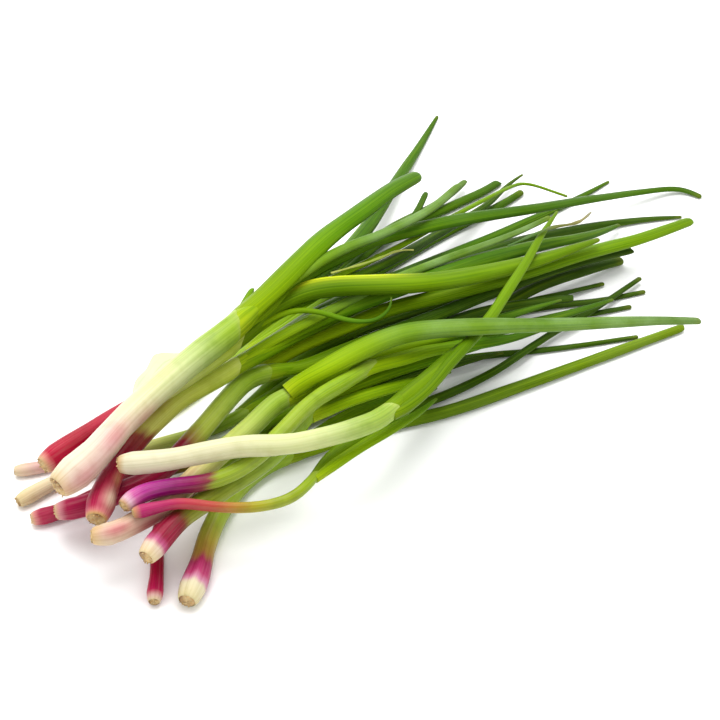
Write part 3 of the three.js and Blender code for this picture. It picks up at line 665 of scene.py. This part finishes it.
class Skin:
    """Collects the surfaces of one piece, with what its material reads at each point: the tint, the
    bloom, the direction round and the distance along its strand, and the strand's own number."""

    def __init__(self):
        self.points, self.faces, self.tint, self.grain, self.strand = [], [], [], [], []
        self.count = 0

    def add(self, points, faces, tint, grain, strand):
        self.faces += [tuple(int(i) + self.count for i in face) for face in faces]
        self.points.append(points.reshape(-1, 3))
        self.tint.append(tint.reshape(-1, 4))
        self.grain.append(grain.reshape(-1, 3))
        self.strand.append(np.full(points.size // 3, float(strand)))
        self.count += points.size // 3

    def tube(self, points, angle, s, tint, bloom, strand, shut=(True, True)):
        """Rings of points joined to a tube; its ends are shut with a fan where shut says so."""
        rings, sides = points.shape[:2]
        angle = np.broadcast_to(angle, (rings, sides))
        along = np.broadcast_to(s, (rings, sides)) if np.ndim(s) == 2 else np.repeat(s[:, None], sides, 1)
        grain = np.stack([np.cos(angle), np.sin(angle), along], -1)
        colour = np.concatenate([tint, np.broadcast_to(bloom, (rings, sides))[..., None]], -1)
        row = np.arange(sides)
        ring = np.arange(rings - 1)[:, None] * sides
        a, b = ring + row, ring + (row + 1) % sides
        faces = [*np.stack([a, b, b + sides, a + sides], -1).reshape(-1, 4)]
        extra_points, extra_tint, extra_grain = [], [], []
        for end, turned in ((0, True), (rings - 1, False)):
            if not shut[0 if end == 0 else 1]:
                continue
            middle = rings * sides + len(extra_points)
            extra_points.append(points[end].mean(0))
            extra_tint.append(colour[end].mean(0))
            extra_grain.append([0, 0, along[end].mean()])
            for i in range(sides):
                pair = (end * sides + i, end * sides + (i + 1) % sides)
                faces.append((*(pair[::-1] if turned else pair), middle))
        if extra_points:
            points = np.vstack([points.reshape(-1, 3), extra_points])
            colour = np.vstack([colour.reshape(-1, 4), extra_tint])
            grain = np.vstack([grain.reshape(-1, 3), extra_grain])
        self.add(points, faces, colour, grain, strand)

    def piece(self, name, material, slot_name, node=None):
        mesh = bpy.data.meshes.new(name)
        mesh.from_pydata((np.vstack(self.points) * MM).tolist(), [], self.faces)
        for key, kind, field, values in (
            ("tint", "FLOAT_COLOR", "color", np.vstack(self.tint)),
            ("grain", "FLOAT_VECTOR", "vector", np.vstack(self.grain)),
            ("strand", "FLOAT", "value", np.concatenate(self.strand)),
        ):
            attribute = mesh.attributes.new(key, kind, "POINT")
            attribute.data.foreach_set(field, values.astype(np.float32).ravel())
        mesh.polygons.foreach_set("use_smooth", np.ones(len(mesh.polygons), bool))
        mesh.set_sharp_from_angle(angle=math.radians(52))
        mesh.materials.append(material)
        mesh.validate()
        made = bpy.data.objects.new(name, mesh)
        bpy.context.scene.collection.objects.link(made)
        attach(made, "root")
        if node:
            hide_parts(node)
        return made


class Wiring:
    """Builds the nodes of a material."""

    def __init__(self, name):
        self.material = bpy.data.materials.new(name)
        self.material.use_nodes = True
        self.tree = self.material.node_tree
        self.shader = self.tree.nodes["Principled BSDF"]

    def put(self, socket, value):
        if isinstance(value, bpy.types.NodeSocket):
            self.tree.links.new(value, socket)
        else:
            socket.default_value = value

    def node(self, kind, inputs=None, **settings):
        made = self.tree.nodes.new(kind)
        for key, value in settings.items():
            setattr(made, key, value)
        for key, value in (inputs or {}).items():
            self.put(made.inputs[key], value)
        return made

    def attribute(self, name):
        return self.node("ShaderNodeAttribute", attribute_name=name)

    def maths(self, operation, *values):
        made = self.node("ShaderNodeMath", operation=operation)
        for socket, value in zip(made.inputs, values):
            self.put(socket, value)
        return made.outputs[0]

    def spread(self, value, low, high, to_low=0.0, to_high=1.0):
        made = self.node("ShaderNodeMapRange", {"Value": value, "From Min": low, "From Max": high,
                                                "To Min": to_low, "To Max": to_high})
        return made.outputs["Result"]

    def blend(self, share, a, b, kind="MIX"):
        made = self.node("ShaderNodeMix", data_type="RGBA", blend_type=kind)
        self.put(made.inputs["Factor"], share)
        self.put(made.inputs[6], a)
        self.put(made.inputs[7], b)
        return made.outputs[2]

    def fibres(self, around, along, detail=2.0, rough=0.55):
        """Lengthwise fibres: noise with that many lumps across a radius, and that many a millimetre."""
        scaled = self.node("ShaderNodeVectorMath", {0: self.attribute("grain").outputs["Vector"],
                                                    1: (around, around, along)}, operation="MULTIPLY")
        made = self.node("ShaderNodeTexNoise", {"Vector": scaled.outputs[0], "W": self.number, "Scale": 1.0,
                                                "Detail": detail, "Roughness": rough}, noise_dimensions="4D")
        return made.outputs["Fac"]

    @property
    def number(self):
        return self.maths("MULTIPLY", self.attribute("strand").outputs["Fac"], 3.7)

    def lumps(self, size, detail=3.0):
        """Even noise with lumps of that size in millimetres."""
        place = self.node("ShaderNodeTexCoord").outputs["Object"]
        made = self.node("ShaderNodeTexNoise", {"Vector": place, "Scale": 1 / (size * MM), "Detail": detail})
        return made.outputs["Fac"]

    def set(self, **values):
        for key, value in values.items():
            self.put(self.shader.inputs[key.replace("_", " ")], value)


def rgba(colour):
    return (*linear(colour), 1.0)


def leaf_material():
    w = Wiring("leaf_skin")
    tint = w.attribute("tint")
    veins = w.fibres(8.0, 0.012, 1.0)
    broad = w.fibres(2.0, 0.02, 3.0)
    fine_lines = w.fibres(24.0, 0.02, 0.0)
    patches = w.lumps(16, 4.0)
    grit = w.lumps(0.7, 2.0)
    base = tint.outputs["Color"]
    deep = w.blend(1.0, base, rgba((150, 186, 120)), "MULTIPLY")
    colour = w.blend(w.spread(veins, 0.42, 0.64, 0.0, 0.55), base, deep)
    colour = w.blend(w.spread(broad, 0.5, 0.74, 0.0, 0.2), colour, rgba((150, 184, 20)))
    colour = w.blend(w.spread(fine_lines, 0.55, 0.72, 0.0, 0.06), colour, rgba((186, 210, 60)))
    bloom = w.maths("MULTIPLY", tint.outputs["Alpha"], w.spread(patches, 0.36, 0.66, 0.15, 1.0))
    bloom = w.maths("MULTIPLY", bloom, w.spread(grit, 0.35, 0.65, 0.8, 1.0))
    colour = w.blend(bloom, colour, rgba((150, 180, 126)))
    height = w.maths("ADD", w.maths("MULTIPLY", veins, 0.7), w.maths("MULTIPLY", fine_lines, 0.3))
    height = w.maths("ADD", height, w.maths("MULTIPLY", patches, 0.5))
    bump = w.node("ShaderNodeBump", {"Height": height, "Strength": 0.5, "Distance": 0.3 * MM})
    roughness = w.maths("ADD", w.spread(broad, 0.3, 0.7, 0.36, 0.5), w.maths("MULTIPLY", bloom, 0.2))
    w.set(Base_Color=colour, Roughness=roughness, Normal=bump.outputs["Normal"], Subsurface_Weight=0.06,
          Subsurface_Radius=(0.5, 1.0, 0.1), Subsurface_Scale=1.0 * MM, IOR=1.4, Specular_IOR_Level=0.2,
          Specular_Tint=(0.8, 1.0, 0.12, 1))
    return w.material


def stem_material():
    w = Wiring("stem_skin")
    tint = w.attribute("tint")
    veins = w.fibres(7.5, 0.012, 1.0)
    fine_lines = w.fibres(22.0, 0.02, 0.0)
    broad = w.fibres(1.8, 0.03, 3.0)
    patches = w.lumps(7, 4.0)
    base = tint.outputs["Color"]
    deep = w.blend(1.0, base, base, "MULTIPLY")
    colour = w.blend(w.spread(veins, 0.44, 0.66, 0.0, 0.3), base, deep)
    colour = w.blend(w.spread(broad, 0.5, 0.74, 0.0, 0.05), colour, rgba((250, 236, 216)))
    colour = w.blend(w.spread(fine_lines, 0.56, 0.74, 0.0, 0.035), colour, rgba((252, 240, 226)))
    colour = w.blend(w.spread(patches, 0.5, 0.72, 0.0, 0.26), colour, deep)
    height = w.maths("ADD", w.maths("MULTIPLY", veins, 0.6), w.maths("MULTIPLY", fine_lines, 0.25))
    height = w.maths("ADD", height, w.maths("MULTIPLY", patches, 0.4))
    bump = w.node("ShaderNodeBump", {"Height": height, "Strength": 0.4, "Distance": 0.3 * MM})
    w.set(Base_Color=colour, Roughness=w.spread(broad, 0.3, 0.7, 0.26, 0.42), Normal=bump.outputs["Normal"],
          Subsurface_Weight=0.08, Subsurface_Radius=(1.0, 0.5, 0.3), Subsurface_Scale=1.2 * MM, IOR=1.4,
          Specular_IOR_Level=0.16, Specular_Tint=(1.0, 0.95, 0.8, 1), Coat_Weight=0.04, Coat_Roughness=0.2)
    return w.material


def membrane_material():
    w = Wiring("dry_membrane")
    tint = w.attribute("tint")
    veins = w.fibres(10.0, 0.03, 2.0)
    patches = w.lumps(5, 4.0)
    base = tint.outputs["Color"]
    colour = w.blend(w.spread(veins, 0.45, 0.65, 0.0, 0.3), base, w.blend(1.0, base, base, "MULTIPLY"))
    bump = w.node("ShaderNodeBump", {"Height": w.maths("ADD", veins, patches), "Strength": 0.5,
                                     "Distance": 0.3 * MM})
    w.set(Base_Color=colour, Roughness=w.spread(patches, 0.3, 0.7, 0.35, 0.55), Normal=bump.outputs["Normal"],
          Subsurface_Weight=0.2, Subsurface_Radius=(0.8, 1.0, 0.5), Subsurface_Scale=0.8 * MM,
          Alpha=tint.outputs["Alpha"], IOR=1.4)
    return w.material


def root_material():
    w = Wiring("root_plate")
    tint = w.attribute("tint")
    grit = w.lumps(0.8, 4.0)
    patches = w.lumps(2.6, 3.0)
    colour = w.blend(w.spread(grit, 0.48, 0.7, 0.0, 0.45), tint.outputs["Color"], rgba((196, 146, 76)))
    colour = w.blend(w.spread(patches, 0.56, 0.7, 0.0, 0.4), colour, rgba((140, 88, 40)))
    bump = w.node("ShaderNodeBump", {"Height": grit, "Strength": 0.9, "Distance": 0.4 * MM})
    w.set(Base_Color=colour, Roughness=w.spread(grit, 0.3, 0.7, 0.55, 0.8), Normal=bump.outputs["Normal"],
          Subsurface_Weight=0.15, Subsurface_Radius=(1.0, 0.6, 0.3), Subsurface_Scale=0.8 * MM)
    return w.material


# Tones of a leaf from the sheath's mouth: millimetres for the young part, then shares of its length.
TONES = {
    "fresh": [(0, (180, 212, 36)), (12, (152, 196, 6)), (60, (112, 172, 4)), 0.6,
             (92, 154, 8), (80, 136, 14)],
    "lime": [(0, (200, 228, 50)), (12, (176, 216, 20)), (60, (140, 190, 8)), 0.6,
             (126, 180, 8), (116, 166, 14)],
    "mid": [(0, (200, 228, 50)), (14, (158, 206, 14)), (60, (90, 150, 8)), 0.6,
             (70, 128, 8), (64, 114, 12)],
    # This tone's young part is darker than the pale necks of the other tones: painted shade. From halfway on
    # it is the leaf's own green.
    "shaded_neck": [(0, (140, 176, 30)), (12, (112, 156, 10)), (60, (92, 142, 6)), 0.5,
             (118, 168, 6), (112, 160, 12)],
    "olive": [(0, (184, 212, 50)), (12, (132, 172, 20)), (60, (100, 142, 14)), 0.6,
             (106, 148, 16), (120, 156, 26)],
    "dark": [(0, (176, 208, 46)), (14, (124, 176, 14)), (60, (68, 118, 8)), 0.6,
             (52, 98, 8), (50, 90, 12)],
    "waxy": [(0, (200, 228, 50)), (14, (160, 206, 20)), (60, (110, 162, 14)), 0.6,
             (94, 144, 36), (90, 134, 40)],
}
BLOOM = {"fresh": 0.02, "lime": 0.02, "shaded_neck": 0.02, "mid": 0.04, "olive": 0.06, "dark": 0.04, "waxy": 0.36}


def stem_skin(number, whole):
    onion, strand = whole.onion, whole.stem
    points = points_of(strand)
    end = lengths(points)[-1]
    route = Route(np.vstack([points, points_of(whole.leaves[0])[:3]]))
    angle = 2 * math.pi * np.arange(STEM_SIDES) / STEM_SIDES
    skin = Skin()
    count = int(end / STEM_RING)
    s = np.concatenate([[0, 0.25, 0.5, 0.8, 1.2, 1.7, 2.3], np.linspace(3, end, count)])
    radius = stem_radius(onion, s)[:, None] * (1 + 0.014 * ripple(angle, number, 7)[None])
    wobble = 0.012 * np.sin(s / 7.3 + number) + 0.010 * np.sin(s / 3.1 + 2 * number)
    radius = radius * (1 + wobble[:, None] * ease(s / 12)[:, None])
    shift = ripple(angle, 100 + number, 9)[None]
    for place, slant, turn, depth in onion.get("edges", ()):
        edge = place + slant * np.cos(angle - turn) + 1.2 * ripple(angle, 200 + number + int(place), 11)
        radius = radius - depth * clamp01((s[:, None] - edge[None]) / 0.7)
    tinted = s[:, None] + onion.get("streak", STREAK) * shift * ease(s / 15)[:, None]
    tint = blended(onion["stops"], tinted)
    for place, turn, size, colour, strength in onion.get("blush", ()):
        off = np.angle(np.exp(1j * (angle - math.radians(turn)))) * onion["shank"]
        spot = np.exp(-((s[:, None] - place) / size) ** 2 - (off[None] / (0.45 * size)) ** 2)
        tint = mix(tint, linear(colour), (strength * spot)[..., None])
    greening = ease(1 - (end - s) / GREENING)[:, None, None]
    tint = STEM_SHADE * mix(tint, linear(MOUTH_GREEN), onion.get("mouth", MOUTH) * greening)
    rings = route.around(s, angle[None], radius, radius)
    dice = np.random.default_rng(SEED + 500 + number)
    reach, slant, turn = onion.get("collar", COLLAR)
    ragged = reach + slant * np.cos(angle - turn) + 0.5 * ripple(angle, 600 + number, 9)
    ragged = np.maximum(ragged + dice.normal(0, 0.05, STEM_SIDES), 1.0)
    share = np.linspace(0, 1, 9)[1:, None]
    beyond = end + share * ragged[None]
    hug = radius[-1:] * (1 - 0.05 * share)
    outside = route.around(beyond, angle[None], hug, hug)
    paling = 0.45 if "collar" in onion else 0.12
    rim = mix(tint[-1:], STEM_SHADE * linear(RIM_PALE), paling * share[..., None] ** 2)
    along = np.concatenate([np.repeat(s[:, None], STEM_SIDES, 1), beyond])
    skin.tube(np.concatenate([rings, outside]), angle, along, np.concatenate([tint, rim]), 0.0, number,
              (False, False))
    back = hug[::-1] - SHEATH
    inner = np.maximum(radius[-1:] - WALL, radius[-1:] * 0.7)
    depth = np.array([[end - 0.8], [end - 6]]) * np.ones((1, STEM_SIDES))
    deep = np.repeat(inner, 2, 0)
    wall = np.concatenate([
        outside[-1:],
        route.around(beyond[::-1], angle[None], back, back),
        route.around(depth, angle[None], deep, deep),
    ])
    pale = np.broadcast_to(STEM_SHADE * linear(MOUTH_INSIDE), (*wall.shape[:2], 3))
    skin.tube(wall, angle, np.full(len(wall), end), pale, 0.0, number, (False, True))
    return skin, route


def plate_skin(number, whole, route):
    """The root plate: a rough dome with the stubs of the trimmed roots."""
    onion = whole.onion
    dice = np.random.default_rng(SEED + number)
    skin = Skin()
    sides = 32
    angle = 2 * math.pi * np.arange(sides) / sides
    rim = onion["bulb"] * PLATE * 1.02
    rise = np.array([0.0, 0.12, 0.3, 0.55, 0.8, 1.0])
    reach = rim * np.sqrt(1 - rise**1.5 * 0.98)[:, None] * (1 + 0.05 * ripple(angle, 300 + number, 8))[None]
    height = 0.35 - rise * onion["bulb"] * 0.2
    rough = dice.normal(0, 0.10, (len(rise), sides)) * (rise > 0)[:, None]
    rings = route.around(height, angle[None], reach, reach, rough)
    tan = linear(PLATE_TAN)
    tint = tan[None, None] * dice.uniform(0.8, 1.1, (len(rise), sides, 1))
    brown = clamp01(0.35 + rise)[:, None] * clamp01(0.45 + 1.1 * ripple(angle, 700 + number, 3))[None]
    tint = STEM_SHADE * mix(tint, linear(PLATE_BROWN), brown[..., None])
    skin.tube(rings[::-1], angle, height[::-1], tint, 0.0, number, (True, True))
    count = int(5 + onion["bulb"] * 2)
    for _ in range(count):
        turn = dice.uniform(0, 2 * math.pi)
        out = rim * math.sqrt(dice.uniform(0.0, 0.85))
        long = dice.uniform(0.25, 0.8) * onion["bulb"] / 4.5
        thin = dice.uniform(0.2, 0.38)
        around = 2 * math.pi * np.arange(7) / 7
        centre, side, up, tangent = (v[0] for v in route.frame(np.array([0.0])))
        foot = centre + side * out * math.cos(turn) + up * out * math.sin(turn)
        lean = -tangent + 0.5 * (side * math.cos(turn) + up * math.sin(turn)) * out / rim
        lean += dice.normal(0, 0.15, 3)
        lean /= np.linalg.norm(lean)
        a = np.cross(lean, [0.3, 0.5, 0.8])
        a /= np.linalg.norm(a)
        b = np.cross(lean, a)
        stations = np.array([-0.4, long * 0.5, long])
        width = np.array([1.15, 1.0, 0.85]) * thin
        stub = foot + lean * stations[:, None, None]
        stub = stub + (a * np.cos(around)[:, None] + b * np.sin(around)[:, None]) * width[:, None, None]
        stub[..., 2] = np.maximum(stub[..., 2], 0.02)
        shade = STEM_SHADE * tan[None, None] * dice.uniform(0.6, 1.05)
        skin.tube(stub, around, stations, np.broadcast_to(shade, (3, 7, 3)), 0.0, number, (True, True))
    return skin


def leaf_tint(tone, s, length, angle, seed):
    *young, far_share, far, tip = TONES[tone]
    stops = [*young, (max(far_share * length, young[-1][0] + 10), far), (length, tip)]
    if length < young[-1][0] + 20:
        stops = [*young[:2], (max(length, 20), young[2][1])]
    colour = blended(stops, s[:, None] + 3 * ripple(angle, seed)[None])
    shade = 1 + 0.12 * ripple(angle, seed + 7, 4)[None] + 0.06 * np.sin(s / 19 + seed)[:, None]
    return LEAF_SHADE * colour * shade[..., None]


def leaves_skin(number, whole):
    onion = whole.onion
    skin = Skin()
    tail = points_of(whole.stem)[-4:]
    tail_length = lengths(tail)[-1]
    angle = 2 * math.pi * np.arange(LEAF_SIDES) / LEAF_SIDES
    neck_route = Route(np.vstack([tail, points_of(whole.leaves[0])]))
    shank = onion["shank"]
    foot = min(0.93 * shank, shank - 0.6)
    s = np.linspace(-5, NECK, 24)
    share = np.interp(s / NECK, *NECK_RINGS.T) * shank
    radius = np.where(s < 0, foot, np.minimum(foot, share))
    tint = leaf_tint(onion["leaves"][0]["tone"], np.maximum(0, s), 200.0, angle, number)
    rings = neck_route.around(tail_length + s, angle[None], radius[:, None], radius[:, None])
    skin.tube(rings, angle, s, tint, 0.0, number)
    for k, (leaf, strand) in enumerate(zip(onion["leaves"], whole.leaves)):
        seed = number * 10 + k
        dice = np.random.default_rng(SEED + seed)
        route = Route(np.vstack([tail, points_of(strand)]))
        reach = route.length - tail_length
        s = np.linspace(LEAF_START, reach, max(6, int(reach / LEAF_RING)))
        half = leaf_half_width(leaf, shank, clamp01(s / reach))
        tip = half[-1]
        if leaf.get("cut"):
            half = half * (1 - 0.22 * clamp01((s - reach + 2.2) / 2.2) ** 2)
            tip = half[-1]
        else:
            round_off = np.array([0.35, 0.65, 0.85, 0.96]) * tip
            s = np.concatenate([s, reach + round_off])
            half = np.concatenate([half, tip * np.sqrt(1 - (round_off / tip) ** 2)])
        wave = 1 + 0.02 * np.sin(s / 11 + seed) + 0.015 * np.sin(s / 4.7 + 2 * seed)
        across = (half * wave)[:, None] * (1 + 0.02 * ripple(angle, seed, 6)[None])
        lens = 0.90 + 0.10 * np.abs(np.sin(angle)) ** 1.5
        over = across * leaf_flatness(s)[:, None] * lens[None]
        tone = leaf["tone"]
        tint = leaf_tint(tone, s, reach, angle, seed)
        if "edge" in leaf:
            start, end, turn, colour = leaf["edge"]
            off = np.angle(np.exp(1j * (angle - math.radians(turn))))
            along = ease((s - start) / 12) * ease((end - s) / 25)
            pale = 0.85 * along[:, None] * np.exp(-(off / 0.42) ** 2)[None]
            tint = mix(tint, linear(colour), pale[..., None])
        shift = 0
        if leaf.get("cut"):
            slant = dice.uniform(0.15, 0.55) * tip
            turn = dice.uniform(0, 2 * math.pi)
            shift = -slant * (1 + np.cos(angle - turn))[None] * ease((s - reach + 8) / 8)[:, None]
        else:
            dry = ease((s - reach + 4) / 4)[:, None, None]
            tint = mix(tint, linear(TIP_DRY), 0.35 * dry)
        rings = route.around(tail_length + s, angle[None], across, over, shift)
        bloom = BLOOM[tone] * ease((s - 20) / 90)[:, None]
        skin.tube(rings, angle, s, tint, bloom, seed, (True, not leaf.get("cut")))
        if leaf.get("cut"):
            inner = np.maximum(across[-1:] - WALL, across[-1:] * 0.6)
            ratio = over[-1:] / across[-1:]
            depth = np.array([0, 0.6, 2, CUT_DEPTH])
            hollow = route.around(tail_length + reach - depth, angle[None], inner * np.ones((4, 1)),
                                  inner * ratio * np.ones((4, 1)), shift[-1:] * np.ones((4, 1)))
            rim = np.concatenate([rings[-1:], hollow])
            # Colours from the outer skin's edge into the hollow: pale at the cut wall, its own colour, then
            # darker to almost black by CUT_DEPTH in, painted shade inside the hollow.
            colour = np.array([linear(c) for c in ((190, 206, 120), (196, 212, 130), (120, 160, 50),
                                                   (70, 110, 30), (50, 84, 24))])
            colour = np.broadcast_to(colour[:, None], (5, LEAF_SIDES, 3))
            skin.tube(rim, angle, np.full(5, reach), colour, 0.0, seed, (False, True))
    return skin


def laid_alone(pixels, half):
    """A thin strand of that half width, laid on the heap where the photograph shows it."""
    strand = strand_of(smooth_pixels(pixels))
    others = [line for whole in heap for line in whole.lines]
    size = np.full(len(strand.z), half)
    for count in range(SETTLING + 1):
        if count < SETTLING:
            strand.xy = seen_at(strand.pixel, strand.z)
        found = [contacts(strand, size, size, line) for line in others if near(strand, size, line)]
        low = drape(lengths(strand.xy), lowest(size, found, 1), np.full(len(size), STRAND_BEND))
        strand.z = settled(strand.z, low, count)
    return strand


def strand_skin(number, pixels, half, colours):
    strand = laid_alone(pixels, half)
    route = Route(points_of(strand))
    angle = 2 * math.pi * np.arange(8) / 8
    s = np.arange(0, route.length, 0.8)
    share = s / route.length
    width = half * (0.35 + 0.65 * np.sin(math.pi * np.clip(share, 0.06, 0.94)) ** 0.6)
    width = width * (1 + 0.18 * np.sin(s / 1.9 + number))
    skin = Skin()
    tint = np.stack([np.interp(share, np.linspace(0, 1, len(colours)), [linear(c)[k] for c in colours])
                     for k in range(3)], -1)
    tint = np.repeat(tint[:, None], 8, 1)
    turned = angle[None] + 0.12 * s[:, None]
    rings = route.around(s, turned, width[:, None] * np.ones((1, 8)), width[:, None] * 0.55 * np.ones((1, 8)))
    skin.tube(rings, angle, s, tint, 1.0, 900 + number)
    return skin


def wing_skin(whole, inner, outer):
    """A sheet of loose papery skin on a stem, from its inner edge to its outer one."""
    rows, columns = 15, 33
    t = np.linspace(0, 1, columns)
    edges = []
    for points in (inner, outer):
        line = smooth_pixels(points)
        along = np.linspace(0, 1, len(line))
        edges.append(np.column_stack([np.interp(t, along, line[:, axis]) for axis in range(2)]))
    base = np.array([whole.stem.z[nearest(whole.stem.pixel, pixel)] for pixel in edges[0]])
    out = np.linspace(0, 1, rows)[:, None]
    crease = 0.7 * np.sin(5 * math.pi * t + 1)[None] * out
    z = base[None] + whole.onion["shank"] * (0.2 - 0.9 * out**2) + crease
    pixel = mix(edges[0][None], edges[1][None], out[..., None])
    pixel = pixel + 0.8 * np.sin(17 * t)[None, :, None] * out[..., None] ** 6
    xy = seen_at(pixel.reshape(-1, 2), z.ravel()).reshape(rows, columns, 2)
    top = np.concatenate([xy, z[..., None]], -1)
    skin = Skin()
    ring = np.concatenate([top, (top - [0, 0, SHEATH])[::-1]])
    faces = []
    count = 2 * rows
    for i in range(count):
        for j in range(columns - 1):
            a, b = i * columns + j, ((i + 1) % count) * columns + j
            faces.append((a, a + 1, b + 1, b))
    for j in (0, columns - 1):
        for i in range(rows - 1):
            corners = (i * columns + j, (i + 1) * columns + j, (count - 2 - i) * columns + j,
                       (count - 1 - i) * columns + j)
            faces.append(corners if j == 0 else corners[::-1])
    pale = mix(linear((204, 212, 178)), linear((194, 208, 150)), t[None, :, None] * np.ones((count, 1, 1)))
    tint = np.concatenate([pale, np.full((count, columns, 1), 0.85)], -1)
    grain = np.stack([np.repeat(np.linspace(0, 2, count)[:, None], columns, 1),
                      np.zeros((count, columns)), np.repeat(40 * t[None], count, 0)], -1)
    skin.add(ring, faces, tint, grain, 990)
    return skin


leaf_green, onion_skin, dry_skin, plate_tan = (
    leaf_material(), stem_material(), membrane_material(), root_material())

for number, whole in enumerate(heap, 1):
    skin_slot, green_slot = whole.onion["skin"], whole.onion["green"]
    stem, route = stem_skin(number, whole)
    stem.piece(f"fine_stem_{number:02d}", onion_skin, skin_slot, f"stem_{number:02d}")
    plate_skin(number, whole, route).piece(f"root_plate_{number:02d}", plate_tan, skin_slot)
    leaves_skin(number, whole).piece(f"fine_leaves_{number:02d}", leaf_green, green_slot,
                                     f"leaves_{number:02d}")

for number, (pixels, half, colours) in enumerate(STRANDS, 1):
    strand_skin(number, pixels, half, colours).piece(f"dry_strand_{number:02d}", dry_skin, "green_leaf")
wing_skin(heap[WINGED - 1], WING_INNER, WING_OUTER).piece("papery_wing", dry_skin, "white_stem")

# The floor, the light and the camera.
FLOOR_SIDE = 6.0
FLOOR_DROP = 0.0002
LAMP_SIDE = 0.9
LAMP_POWER = 13.0
LAMP_PLACE = (0.10, 0.30, 0.95)
SKY = 0.98

bpy.ops.mesh.primitive_plane_add(size=FLOOR_SIDE, location=(0, 0, -FLOOR_DROP))
floor = bpy.context.object
floor.name = "floor"
ground = Wiring("pale_floor")
ground.set(Base_Color=(0.96, 0.96, 0.96, 1), Roughness=0.7, Specular_IOR_Level=0.1)
floor.data.materials.append(ground.material)

lamp_data = bpy.data.lights.new("softbox", "AREA")
lamp_data.shape = "SQUARE"
lamp_data.size = LAMP_SIDE
lamp_data.energy = LAMP_POWER
lamp = bpy.data.objects.new("softbox", lamp_data)
lamp.location = LAMP_PLACE
lamp.rotation_euler = (-Vector(LAMP_PLACE)).to_track_quat("-Z", "Y").to_euler()
bpy.context.scene.collection.objects.link(lamp)

world = bpy.data.worlds.new("studio")
world.use_nodes = True
sky = world.node_tree.nodes["Background"]
sky.inputs["Color"].default_value = (1, 1, 1, 1)
sky.inputs["Strength"].default_value = SKY
bpy.context.scene.world = world
bpy.context.scene.view_settings.view_transform = "Standard"


def from_view(x, y, z):
    """A point of the view's frame, in the part's frame, in metres."""
    x, y = x - MIDDLE[0], y - MIDDLE[1]
    c, s = math.cos(BUNCH_HEADING), math.sin(BUNCH_HEADING)
    return Vector((x * c + y * s, y * c - x * s, z)) * MM


camera_data = bpy.data.cameras.new("camera")
camera_data.sensor_width = 36
camera_data.lens = LENS / PICTURE * camera_data.sensor_width
camera_data.clip_start, camera_data.clip_end = 0.05, 20
camera = bpy.data.objects.new("camera", camera_data)
camera.location = from_view(0, -DISTANCE * math.cos(LOOK_DOWN), DISTANCE * math.sin(LOOK_DOWN))
camera.rotation_mode = "QUATERNION"
camera.rotation_quaternion = (from_view(0, 0, 0) - camera.location).to_track_quat("-Z", "Y")
bpy.context.scene.collection.objects.link(camera)
bpy.context.scene.camera = camera
